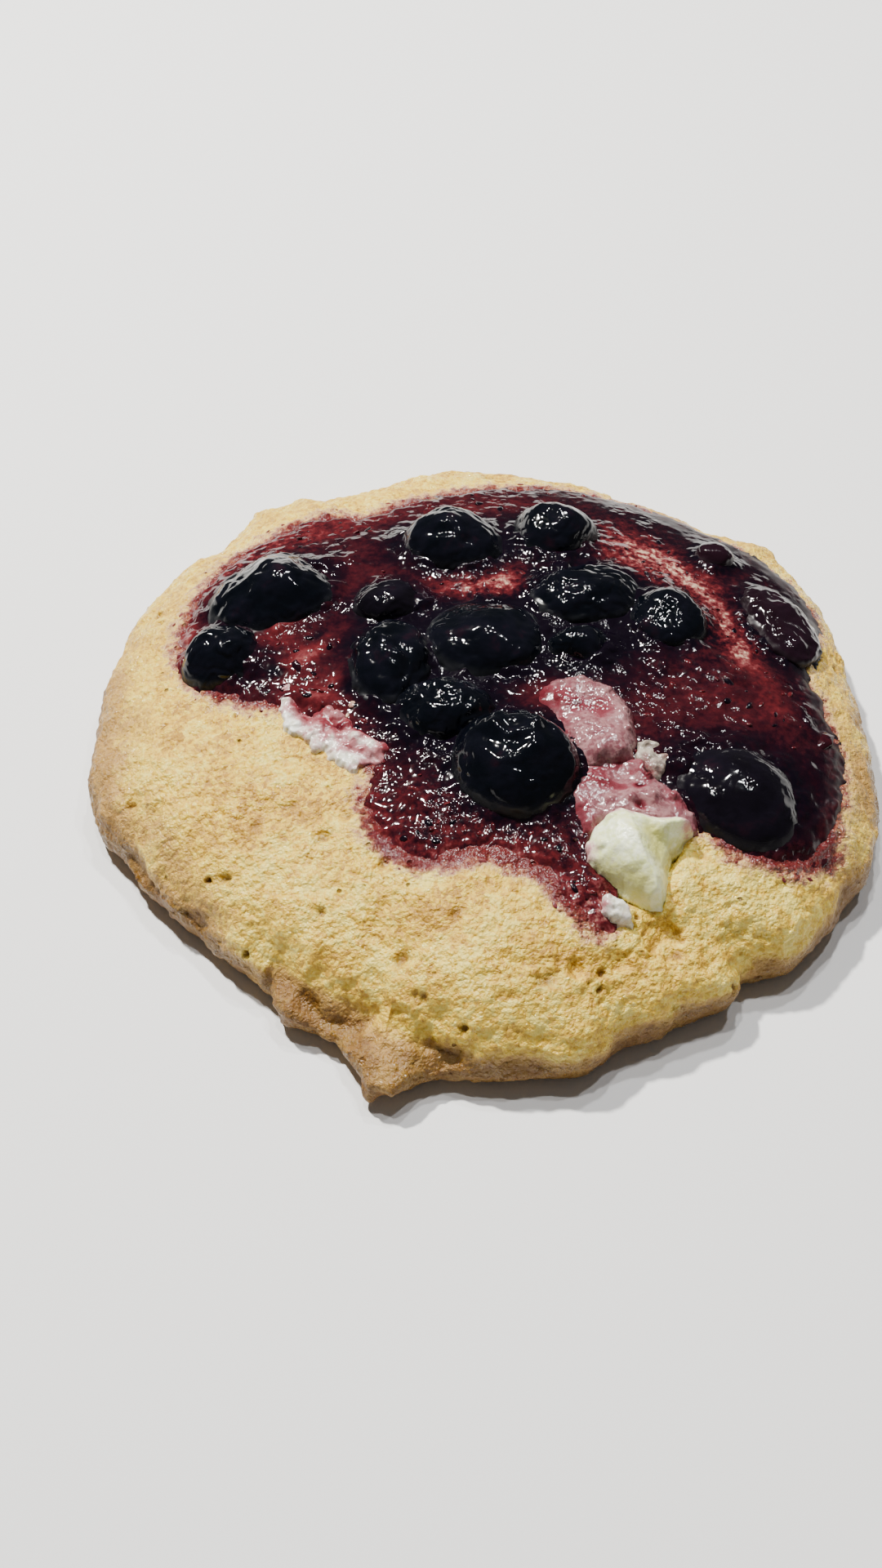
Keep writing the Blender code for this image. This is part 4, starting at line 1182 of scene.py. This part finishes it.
def makeWrinkleTree():
    tree, given, end = shapeTree("berryWrinkles", {
        "Wrinkle height": 0.00016, "Wrinkle size": 0.0030, "Pucker share": 0.45,
        "Pucker size": 0.0016, "Shift": 0.0, "Material": berryMaterial})
    place, normal = placeOf(tree), normalOf(tree)
    shift = addNode(tree, "ShaderNodeCombineXYZ", {
        "X": given["Shift"], "Z": given["Shift"]}).outputs[0]
    moved = addNode(tree, "ShaderNodeVectorMath", {0: place, 1: shift}, operation="ADD").outputs[0]
    folds = lumps(moved, given["Wrinkle size"], 1.0, 0.5, 0.8)
    folds = times(calc("ABSOLUTE", minus(folds, 0.5)), 4.0)
    pucker = about(lumps(moved, given["Pucker size"], 1.0),
                   times(given["Pucker share"], noiseSpread))
    total = times(plus(folds, pucker), given["Wrinkle height"])
    return endTree(end, pushAlong(given["Geometry"], normal, total), given["Material"])


def domeTilt(x, y):
    # the turn that lays a piece's up onto the dome's slope at x, y
    run = 0.5
    xs, ys = np.array([x + run, x - run, x, x]), np.array([y, y, y + run, y - run])
    right, left, behind, before = domeHeight(xs, ys)
    normal = Vector((left - right, before - behind, 2 * run)).normalized()
    return np.array(Vector((0, 0, 1)).rotation_difference(normal).to_matrix())


def jamLevel(x, y):
    # the jam's level at a place, as the solids have it
    x, y = np.array([float(x)]), np.array([float(y)])
    share = np.clip(jamInset(x, y) / jam["swellReach"], 0, 1)
    swell = jam["swell"] * (0.5 - 0.5 * np.cos(math.pi * share))
    return float((domeHeight(x, y) + jam["level"] + swell)[0])


def unitBall(subdivisions):
    mesh = bmesh.new()
    bmesh.ops.create_icosphere(mesh, subdivisions=subdivisions, radius=1.0)
    points = np.array([vert.co[:] for vert in mesh.verts])
    faces = [[vert.index for vert in face.verts] for face in mesh.faces]
    mesh.free()
    return points, faces


def makeBerries():
    wrinkles = makeWrinkleTree()
    ball, faces = unitBall(6)
    smallBall, smallFaces = unitBall(5)
    for number, row in enumerate(berries["rows"], start=1):
        x, y, width, depth, turn, rise, peak, wrinkle, seed = row
        u, f = (ball, faces) if width > 7 else (smallBall, smallFaces)
        share = np.clip(np.hypot(u[:, 0], u[:, 1]), 1e-9, 1)
        spread = share ** berries["fullness"] / share
        plan = u[:, :2] * spread[:, None]
        lift = np.abs(u[:, 2]) ** berries["fullness"]
        rounding = berries["rounder"].get(number, berries["roundness"])
        upper = rise * (1 - (share * spread) ** rounding) + peak * (1 - share) ** 2
        upper += berries["waterline"] * np.sqrt(1 - np.clip(share * spread, 0, 1) ** 8)
        pz = np.where(u[:, 2] > 0, upper, -lift * (berries["sink"] - berries["waterline"]))
        swell = 1 + berries["uneven"] * (1.0 + 6 * wrinkle) * noiseAt(u, 0.9, seed)
        for dentX, dentY, reach, deep in berries["dents"].get(number, ()):
            away = np.hypot(plan[:, 0] - dentX, plan[:, 1] - dentY)
            away *= 1 + 0.9 * noiseAt(u, 0.45, seed + 30)
            lip = 0.12 * np.exp(-((away - 1.6 * reach) / (0.5 * reach)) ** 2)
            pz -= (u[:, 2] > 0) * deep * (np.exp(-(away / reach) ** 2) - lip)
        broad = berries["broader"] * swell / 2
        px, py, pz = plan[:, 0] * width * broad, plan[:, 1] * depth * broad, pz * swell
        if number == berries["crown"][0]:
            crownX, crownY, radius, halfWidth, height = berries["crown"][1:]
            ring = np.hypot(px - crownX, (py - crownY) * 1.15)
            tips = 1 + 0.35 * np.cos(5 * np.arctan2(py - crownY, px - crownX) + 0.7)
            pz += (u[:, 2] > 0.2) * height * np.exp(-((ring - radius) / halfWidth) ** 2) * tips
        tilt = domeTilt(x, y)
        local = np.stack((*turned(px, py, 0, 0, -turn), pz), axis=1) @ tilt.T
        deeper = berries["deeper"].get(number, berries["deeperElse"])
        points = local + (x, y, jamLevel(x, y) - berries["waterline"] - deeper)
        # the skin hugs the dome's own curve below, less so on top
        slopeX, slopeY, steep = tilt @ (0.0, 0.0, 1.0)
        plane = domeHeight(np.array([x]), np.array([y]))
        plane = plane - ((points[:, 0] - x) * slopeX + (points[:, 1] - y) * slopeY) / steep
        hug = 1 - 0.75 * np.clip(u[:, 2], 0, 1)
        points[:, 2] += (domeHeight(points[:, 0], points[:, 1]) - plane) * hug
        piece = meshPiece("blueberry_%d" % number, points, f)
        setValues(piece, "purple", np.full(len(points), berries["purple"].get(number, 0.0)))
        flank = np.where(u[:, 2] > 0, smooth01((share * spread - 0.80) / 0.14), 1.0)
        setValues(piece, "flank", flank)
        useTree(piece, wrinkles, {"Wrinkle height": wrinkle * mm, "Shift": seed * 0.013})
        finishPiece(piece, "berry_skin", ["berry_%d" % number])


makeBerries()


def makeCurdTree():
    tree, given, end = shapeTree("cheeseCurds", {
        "Curd height": 0.00022, "Curd size": 0.0016, "Grain height": 0.00004, "Grain size": 0.0006,
        "Material": cheeseMaterials["creamCheese"]})
    place, normal = placeOf(tree), normalOf(tree)
    total = plus(*(about(lumps(place, given[part + " size"], 2.0, 0.5, distortion),
                         times(given[part + " height"], noiseSpread))
                   for part, distortion in (("Curd", 0.3), ("Grain", 0.0))))
    total = times(total, attribute(tree, "surface"))
    return endTree(end, pushAlong(given["Geometry"], normal, total), given["Material"])


# outline: x, y round the lump; spots: x, y, height over the surface it lies on;
# lumps: x, y, radius, height; stains: x, y, half width, half depth, turn, stain
cheeses = {
    "cheese_chunk": {
        "material": "creamCheese", "slot": "cream_cheese", "level": 0.15,
        "edge": 0.6, "ragged": 0.3, "curd": 0.12, "step": 0.13, "torn": 0.62,
        "outline": (
            (11.0, -25.0), (11.0, -23.0), (11.7, -21.2), (13.4, -19.4), (14.9, -18.3),
            (16.7, -19.0), (18.7, -19.4), (20.8, -19.6), (23.9, -20.4), (22.2, -21.8),
            (20.7, -23.0), (20.3, -25.4), (20.0, -27.8), (19.5, -29.3), (18.2, -29.4),
            (16.5, -28.4), (14.9, -27.5), (12.8, -26.4)),
        "spots": (
            (11.0, -25.0, 0.6), (11.7, -21.2, 1.0), (13.4, -19.4, 1.4), (14.9, -18.3, 1.9),
            (16.7, -19.2, 2.0), (18.7, -19.7, 1.9), (20.6, -19.9, 2.3), (23.7, -20.5, 2.3),
            (22.0, -21.7, 1.0), (20.4, -23.0, 0.8), (20.2, -25.4, 0.8), (20.0, -27.6, 1.1),
            (19.3, -29.2, 1.5), (18.2, -29.3, 1.5), (16.5, -28.3, 0.7), (14.9, -27.4, 0.5),
            (12.8, -26.3, 0.5), (14.7, -21.5, 3.4), (13.2, -22.8, 2.5), (14.9, -24.6, 3.4),
            (16.7, -23.4, 4.0), (12.8, -25.2, 1.8), (15.6, -26.6, 2.5), (17.6, -26.4, 3.7),
            (18.6, -27.8, 3.1), (18.8, -29.0, 2.4), (18.4, -22.2, 2.2), (19.1, -23.9, 1.5),
            (19.4, -25.6, 1.6), (20.4, -21.3, 3.2), (22.0, -20.9, 3.0), (16.5, -27.5, 1.9),
            (14.0, -26.0, 1.6), (16.1, -20.9, 3.5), (18.2, -20.7, 2.8)),
        "lumps": (
            (18.8, -29.1, 0.45, 2.2), (18.1, -29.1, 0.4, 1.9), (19.3, -28.9, 0.4, 2.0),
            (14.2, -20.6, 1.0, 3.0), (13.0, -23.8, 0.9, 2.7)),
        # where painted shade makes its colour darker and yellower in its valleys, given the same way
        # as the stains
        "hollows": (
            (19.2, -24.0, 1.5, 2.8, 8, 0.95), (18.3, -22.0, 1.3, 0.9, -20, 0.55),
            (14.4, -26.6, 3.0, 0.9, -28, 0.75), (17.2, -28.0, 1.6, 0.9, -20, 0.65),
            (16.0, -22.2, 0.5, 2.0, 30, 0.35), (12.4, -24.0, 0.9, 1.4, 0, 0.35)),
        "stains": (
            (10.9, -23.4, 1.0, 2.6, 15, 0.42), (13.4, -19.1, 2.8, 1.0, 25, 0.52),
            (18.4, -19.7, 3.0, 0.6, -8, 0.34), (22.4, -20.4, 2.0, 1.0, -20, 0.34)),
    },
    "cheese_curd": {
        "material": "brokenCheese", "slot": "cream_cheese", "level": 0.0,
        "edge": 0.9, "ragged": 1.2, "curd": 0.55, "step": 0.15, "least": -0.9,
        "flatter": 0.62,
        "outline": (
            (-24.0, 2.2), (-22.2, 2.0), (-21.4, -1.4), (-19.6, -2.2), (-17.0, -2.6), (-14.0, -5.0),
            (-11.0, -7.2), (-9.2, -9.4), (-10.2, -11.0), (-12.8, -11.4), (-14.6, -12.2),
            (-17.4, -10.8), (-19.6, -8.6), (-21.8, -7.0), (-23.9, -4.4), (-24.4, -1.4)),
        "spots": (
            (-23.2, 0, -0.3), (-22.2, -3.8, 0.1), (-20.0, -3.6, -0.7), (-17.9, -8.4, 0.2),
            (-15.4, -6.2, -0.4), (-13.4, -10.6, 0.1), (-10.8, -9.0, -0.4), (-20.6, -6.6, 0.2),
            (-18.0, -5.4, -0.5), (-22.0, -1.0, -0.6)),
        "lumps": (
            (-23.2, 0.4, 0.6, 0.7), (-23.0, -1.4, 0.7, 0.9), (-22.8, -3.3, 0.9, 0.9),
            (-21.6, -5.2, 1.0, 0.7), (-20.3, -6.1, 0.8, 0.7), (-19.1, -5.5, 1.0, 1.3),
            (-18.2, -7.1, 0.9, 0.8), (-18.3, -3.4, 0.8, 1.4), (-17.2, -4.2, 0.8, 1.5),
            (-15.9, -5.3, 0.7, 1.2), (-14.7, -7.4, 1.2, 1.6), (-13.4, -8.7, 1.3, 1.7),
            (-12.0, -9.3, 0.9, 1.5), (-16.7, -9.7, 0.9, 0.8), (-15.1, -10.6, 0.9, 0.8),
            (-14.3, -11.3, 0.6, 0.7), (-19.4, -7.8, 0.8, 0.5), (-17.6, -9.2, 0.7, 0.5),
            (-16.3, -7.6, 0.8, 1.0)),
        "stains": (
            (-17, -6, 12, 8, 0, 0.16), (-19.2, -4.4, 1.4, 0.7, -40, 0.3),
            (-14, -9.6, 0.7, 0.7, 0, 0.3), (-18.6, -7.0, 0.6, 0.9, 0, 0.25),
            (-21.6, -2.2, 1.8, 1.6, -30, 0.5), (-17.4, -5.8, 1.8, 1.0, -40, 0.5),
            (-19.6, -2.6, 2.2, 0.8, -30, 0.5), (-14.8, -5.8, 2.6, 0.9, -42, 0.6),
            (-11.2, -8.0, 2.2, 1.0, -48, 0.62), (-10.8, -10.2, 1.6, 1.4, 0, 0.55),
            (-13.2, -11.6, 1.6, 0.9, 0, 0.4), (-16.6, -5.7, 0.35, 0.3, 0, 0.9),
            (-15.6, -8.9, 1.6, 0.9, -30, 0.25), (-20.6, -4.4, 1.0, 0.9, 0, 0.3),
            (-23.2, 0.8, 0.8, 1.0, 0, 0.25)),
    },
    "cheese_mound": {
        "material": "stainedCheese", "slot": "stained_cheese", "level": 0.15,
        "grown": 0.8, "edge": 2.6, "ragged": 0.7, "curd": 0.16, "step": 0.16,
        "outline": (
            (6.2, -0.4), (7.8, 0.8), (10.5, 1.4), (13.1, 0.9), (15.7, -1.3), (17.3, -4.1),
            (17.9, -6.6), (17.8, -9.6), (17.2, -11.0), (15.4, -12.2), (13.7, -12.9), (11.6, -13.2),
            (9.8, -11.4), (8.9, -8.6), (8.4, -6.2), (7.4, -4.4), (5.8, -2.8)),
        "spots": (
            (6.2, -0.4, 0.8), (7.8, 0.8, 1.0), (10.5, 1.4, 1.5), (13.1, 0.9, 1.8),
            (15.7, -1.3, 2.0), (17.3, -4.1, 2.0), (17.9, -6.6, 1.8), (17.2, -9.6, 1.9),
            (13.7, -12.1, 1.6), (11.9, -12.4, 1.3), (10.0, -10.7, 1.2), (9.2, -8.4, 1.2),
            (8.8, -5.9, 1.2), (7.8, -3.9, 1.2), (8.5, -0.8, 1.7), (10.7, -0.8, 2.3),
            (13.0, -1.5, 2.4), (14.8, -3.6, 2.6), (16.2, -6.2, 2.9), (16.0, -9.2, 2.8),
            (11.8, -3.3, 1.9), (13.7, -4.8, 2.0), (11.0, -4.1, 1.8), (12.0, -7.4, 2.5),
            (14.1, -8.9, 2.9), (12.6, -10.7, 2.8), (15.2, -10.9, 2.8), (11.1, -10.1, 1.9),
            (13.3, -11.9, 2.6), (15.9, -11.2, 2.6)),
        "lumps": (
            (9.2, -0.6, 1.0, 2.3), (11.6, -0.2, 1.0, 2.6), (14.6, -2.2, 1.0, 2.8),
            (16.5, -5.0, 0.9, 3.0), (16.6, -8.0, 0.9, 3.1), (12.2, -7.2, 0.9, 2.5),
            (13.4, -2.2, 0.7, 2.6)),
        "rimStain": 0.42,
        "stains": (
            (6.4, -1.4, 2.6, 2.0, 15, 0.5), (8.0, -2.8, 2.6, 1.6, -20, 0.34),
            (11.6, -3.8, 2.8, 1.2, 0, 0.4), (13.9, -5.2, 1.4, 1.6, 0, 0.4),
            (11.6, 1.2, 4.6, 1.0, 0, 0.3), (17.7, -5.6, 0.9, 4.6, 0, 0.34),
            (9.4, -8.4, 1.2, 4.0, 0, 0.4), (10.8, -3.6, 0.45, 0.45, 0, 0.9),
            (13.2, -9.4, 2.8, 2.4, 0, -0.3), (14.8, -12.3, 2.6, 0.5, 20, 0.45),
            (9.6, -0.6, 1.4, 0.7, 0, -0.2), (14.6, -2.6, 1.6, 0.7, -45, -0.15),
            (16.4, -7.0, 0.7, 3.0, 0, -0.2)),
    },
    "cheese_lump": {
        "material": "stainedCheese", "slot": "stained_cheese", "level": 0.15,
        "grown": 0.8, "edge": 2.0, "ragged": 0.7, "curd": 0.20, "step": 0.16,
        "outline": (
            (9.8, -14.0), (11.2, -12.4), (13.6, -11.6), (16.0, -11.2), (18.2, -11.6), (18.9, -13.2),
            (20.3, -14.3), (22.1, -15.6), (23.6, -18.2), (23.4, -20.2), (20.8, -20.4),
            (18.2, -20.2), (15.0, -19.6), (12.7, -19.8), (11.0, -21.0), (10.3, -18.5)),
        "spots": (
            (11.4, -12.8, 1.2), (13.8, -12.0, 1.2), (16.0, -11.3, 1.2), (18.2, -11.9, 1.7),
            (18.7, -13.3, 1.7), (20.3, -14.5, 1.2), (22.1, -15.8, 1.2), (23.5, -18.2, 1.0),
            (23.0, -19.9, 1.0), (12.7, -17.9, 1.2), (11.4, -19.4, 0.9), (10.5, -18.5, 1.0),
            (10.8, -15.3, 1.3), (18.1, -13.2, 2.1), (16.6, -13.2, 1.2), (14.3, -14.6, 1.2),
            (17.6, -15.5, 1.6), (19.0, -17.3, 2.5), (16.7, -17.4, 2.4), (17.6, -18.2, 1.3),
            (15.3, -17.0, 1.8), (13.1, -16.8, 1.3), (20.1, -17.2, 1.6), (21.5, -18.4, 1.4),
            (15.4, -15.0, 1.1), (17.4, -19.2, 2.2)),
        "lumps": (
            (18.2, -12.8, 0.5, 2.3), (18.7, -14.0, 0.5, 2.2), (21.4, -16.4, 0.8, 1.9),
            (14.2, -17.4, 0.8, 2.0), (19.0, -17.0, 0.8, 2.7), (16.4, -17.6, 0.8, 2.6)),
        "rimStain": 0.34,
        "stains": (
            (12.4, -14.2, 2.6, 1.4, 0, 0.34), (14.8, -15.4, 3.4, 0.8, -10, 0.4),
            (18.5, -13.2, 0.7, 1.6, 0, 0.7), (21.8, -17.0, 1.2, 3.0, 30, 0.34),
            (17.5, -18.2, 0.8, 0.6, 10, 0.8), (17.5, -15.4, 0.5, 0.35, 0, 1.3),
            (15.4, -12.2, 3.4, 0.7, 15, 0.42), (11.2, -18.6, 1.2, 2.4, 0, 0.46),
            (14.6, -17.6, 1.8, 1.0, 0, -0.34), (19.0, -16.6, 1.4, 0.8, 0, -0.2),
            (17.0, -13.4, 1.2, 0.6, 0, 0.24)),
    },
    "cheese_fleck": {
        "material": "grainyCheese", "slot": "cream_cheese", "level": 0.75,
        "grown": 0.3, "edge": 1.0, "ragged": 0.9, "curd": 0.34, "step": 0.16,
        "outline": (
            (17.5, -8.9), (18.9, -7.7), (20.7, -8.2), (21.8, -10.0), (21.3, -12.0), (19.4, -13.7),
            (17.9, -12.4), (17.4, -10.4)),
        "spots": (
            (18.2, -9.4, 0.7), (20.0, -9.4, 0.6), (19.4, -11.2, 0.8), (19.4, -12.8, 0.5),
            (20.8, -11.0, 0.5)),
        "lumps": (
            (18.6, -9.2, 0.5, 0.9), (19.9, -9.2, 0.5, 0.8), (19.0, -10.6, 0.5, 1.0),
            (20.4, -10.8, 0.5, 0.8), (19.4, -12.4, 0.5, 0.9)),
        "stains": (
            (19.4, -10.8, 4, 4, 0, 0.06), (18.2, -12.6, 1.4, 1.6, 0, 0.25),
            (21.4, -11, 0.8, 3, 0, 0.25)),
    },
    "cheese_crumb": {
        "material": "brokenCheese", "slot": "cream_cheese", "level": 0.1,
        "edge": 0.6, "ragged": 0.6, "curd": 0.3, "step": 0.16,
        "outline": (
            (12.6, -29.3), (13.6, -28.6), (15.2, -29.2), (16.0, -30.3), (15.6, -31.5),
            (14.0, -32.0), (12.8, -31.1)),
        "spots": ((13.6, -30.0, 0.6), (14.8, -29.8, 0.8), (14.4, -31.0, 0.6)),
        "lumps": ((13.6, -30.0, 0.6, 1.0), (14.8, -30.1, 0.6, 1.1), (14.3, -31.2, 0.5, 0.8)),
        "stains": ((12.6, -30.4, 1, 1.5, 0, 0.35), (14.4, -30, 3, 3, 0, 0.06)),
    },
}


# in mm: how far each edge goes down, the wall below it, and the room round the outline
cheeseForm = {"foot": 0.7, "wall": 1.0, "overlap": 0.3, "room": 1.5}


def tornSurface(x, y, spots):
    # flat faces between the given spots
    woven = geometry.delaunay_2d_cdt([Vector(spot[:2]) for spot in spots], [], [], 0, 1e-5)
    faces, origins = woven[2:4]
    height = softSurface(x, y, spots)
    for face in faces:
        (x0, y0, z0), (x1, y1, z1), (x2, y2, z2) = (spots[origins[corner][0]] for corner in face)
        area = (x1 - x0) * (y2 - y0) - (x2 - x0) * (y1 - y0)
        u = ((x - x0) * (y2 - y0) - (x2 - x0) * (y - y0)) / area
        v = ((x1 - x0) * (y - y0) - (x - x0) * (y1 - y0)) / area
        inside = (u >= 0) & (v >= 0) & (u + v <= 1)
        height[inside] = (z0 + u * (z1 - z0) + v * (z2 - z0))[inside]
    return height


def makeCheeses():
    curdTree = makeCurdTree()
    for number, (node, shape) in enumerate(cheeses.items(), start=1):
        xs, ys = zip(*shape["outline"])

        def insetAt(x, y):
            flat = np.stack((x, y, np.zeros_like(x)), axis=1)
            ragged = noiseAt(flat, 1.7, number) + 0.5 * noiseAt(flat, 0.7, number + 20)
            inset = outlineInset(x, y, shape["outline"]) + shape.get("grown", 0.0)
            return inset + shape["ragged"] * ragged

        def heightAt(x, y):
            height = softSurface(x, y, shape["spots"])
            if "torn" in shape:
                height += shape["torn"] * (tornSurface(x, y, shape["spots"]) - height)
            for lumpX, lumpY, radius, rise in shape["lumps"]:
                away = ((x - lumpX) ** 2 + (y - lumpY) ** 2) / (1.5 * radius) ** 2
                cap = shape.get("flatter", 1.0) * rise * (1 - away)
                height = np.maximum(height, cap) + 0.08 * np.exp(-np.abs(height - cap) / 0.2)
            inset = insetAt(x, y)
            share = np.clip(inset / shape["edge"], 0, 1)
            rounded = 1 - (1 - share) ** 2.4
            height = (cheeseForm["foot"] + np.maximum(height, shape.get("least", 0.25))) * rounded
            level = domeHeight(x, y) + shape["level"] - cheeseForm["foot"]
            return level + height + 1.2 * np.minimum(inset, 0)

        room = cheeseForm["room"]
        box = (min(xs) - room, min(ys) - room, max(xs) + room, max(ys) + room)
        name = node.replace("cheese_", "creamCheese_")
        piece = meshSheet(name, box, shape["step"],
                          lambda x, y: insetAt(x, y) > -cheeseForm["overlap"], heightAt,
                          cheeseForm["wall"])
        x, y = placesOf(piece).T[:2]
        rimStain = shape.get("rimStain", 0.0) * (1 - smooth01(insetAt(x, y) / 1.6))
        setValues(piece, "stain", patchSum(x, y, shape["stains"]) + rimStain)
        # painted shade in the valleys, from the hollows list
        setValues(piece, "hollow", np.clip(patchSum(x, y, shape.get("hollows", ())), 0, 0.9))
        material = cheeseMaterials[shape["material"]]
        useTree(piece, curdTree, {"Curd height": shape["curd"] * mm, "Material": material})
        finishPiece(piece, shape["slot"], [node])


makeCheeses()


stage = {
    "floorHalf": 2000, "floorColour": (0.86, 0.86, 0.86, 1.0), "floorRoughness": 0.7,
    "room": (1.0, 0.99, 0.97, 1.0), "roomStrength": 0.10,
    # place in mm, size in mm, power in W, colour
    "lamps": {
        "keyLight": ((-250, 290, 560), 40, 9.7, (1.0, 0.97, 0.91)),
        "sparkLight1": ((60, 300, 590), 34, 1.6, (1.0, 1.0, 1.0)),
        "sparkLight2": ((-60, 120, 660), 34, 1.4, (1.0, 0.99, 0.97)),
        "sparkLight3": ((190, 160, 600), 30, 0.9, (0.97, 0.98, 1.0)),
    },
    # the camera, in mm and degrees
    "aim": (-5.006, -8.704, 8.0), "distance": 256.87, "elevation": 50.5, "lens": 50.0,
    "sensor": 36.0,
}


def makeStage():
    half = stage["floorHalf"]
    corners = [(-half, -half, 0), (half, -half, 0), (half, half, 0), (-half, half, 0)]
    floor = meshPiece("floor", corners, [(0, 1, 2, 3)])
    material, _, shader = newMaterial("paleFloor")
    shader.inputs["Base Color"].default_value = stage["floorColour"]
    shader.inputs["Roughness"].default_value = stage["floorRoughness"]
    floor.data.materials.append(material)

    world = bpy.data.worlds.new("softRoom")
    bpy.context.scene.world = world
    world.use_nodes = True
    room = world.node_tree.nodes["Background"].inputs
    room["Color"].default_value = stage["room"]
    room["Strength"].default_value = stage["roomStrength"]

    for name, (place, size, power, colour) in stage["lamps"].items():
        light = bpy.data.lights.new(name, "AREA")
        light.shape = "DISK"
        light.size = size * mm
        light.energy = power
        light.color = colour
        lamp = addObject(name, light)
        lamp.location = Vector(place) * mm
        lamp.rotation_euler = (-lamp.location).to_track_quat("-Z", "Y").to_euler()

    camera = addObject("camera", bpy.data.cameras.new("camera"))
    camera.data.lens = stage["lens"]
    camera.data.sensor_width = stage["sensor"]
    camera.data.clip_start = 0.01
    tilt = math.radians(stage["elevation"])
    back = stage["distance"] * Vector((0, -math.cos(tilt), math.sin(tilt)))
    camera.location = (Vector(stage["aim"]) + back) * mm
    camera.rotation_euler = (math.pi / 2 - tilt, 0, 0)
    bpy.context.scene.camera = camera
    print("stage set")


makeStage()
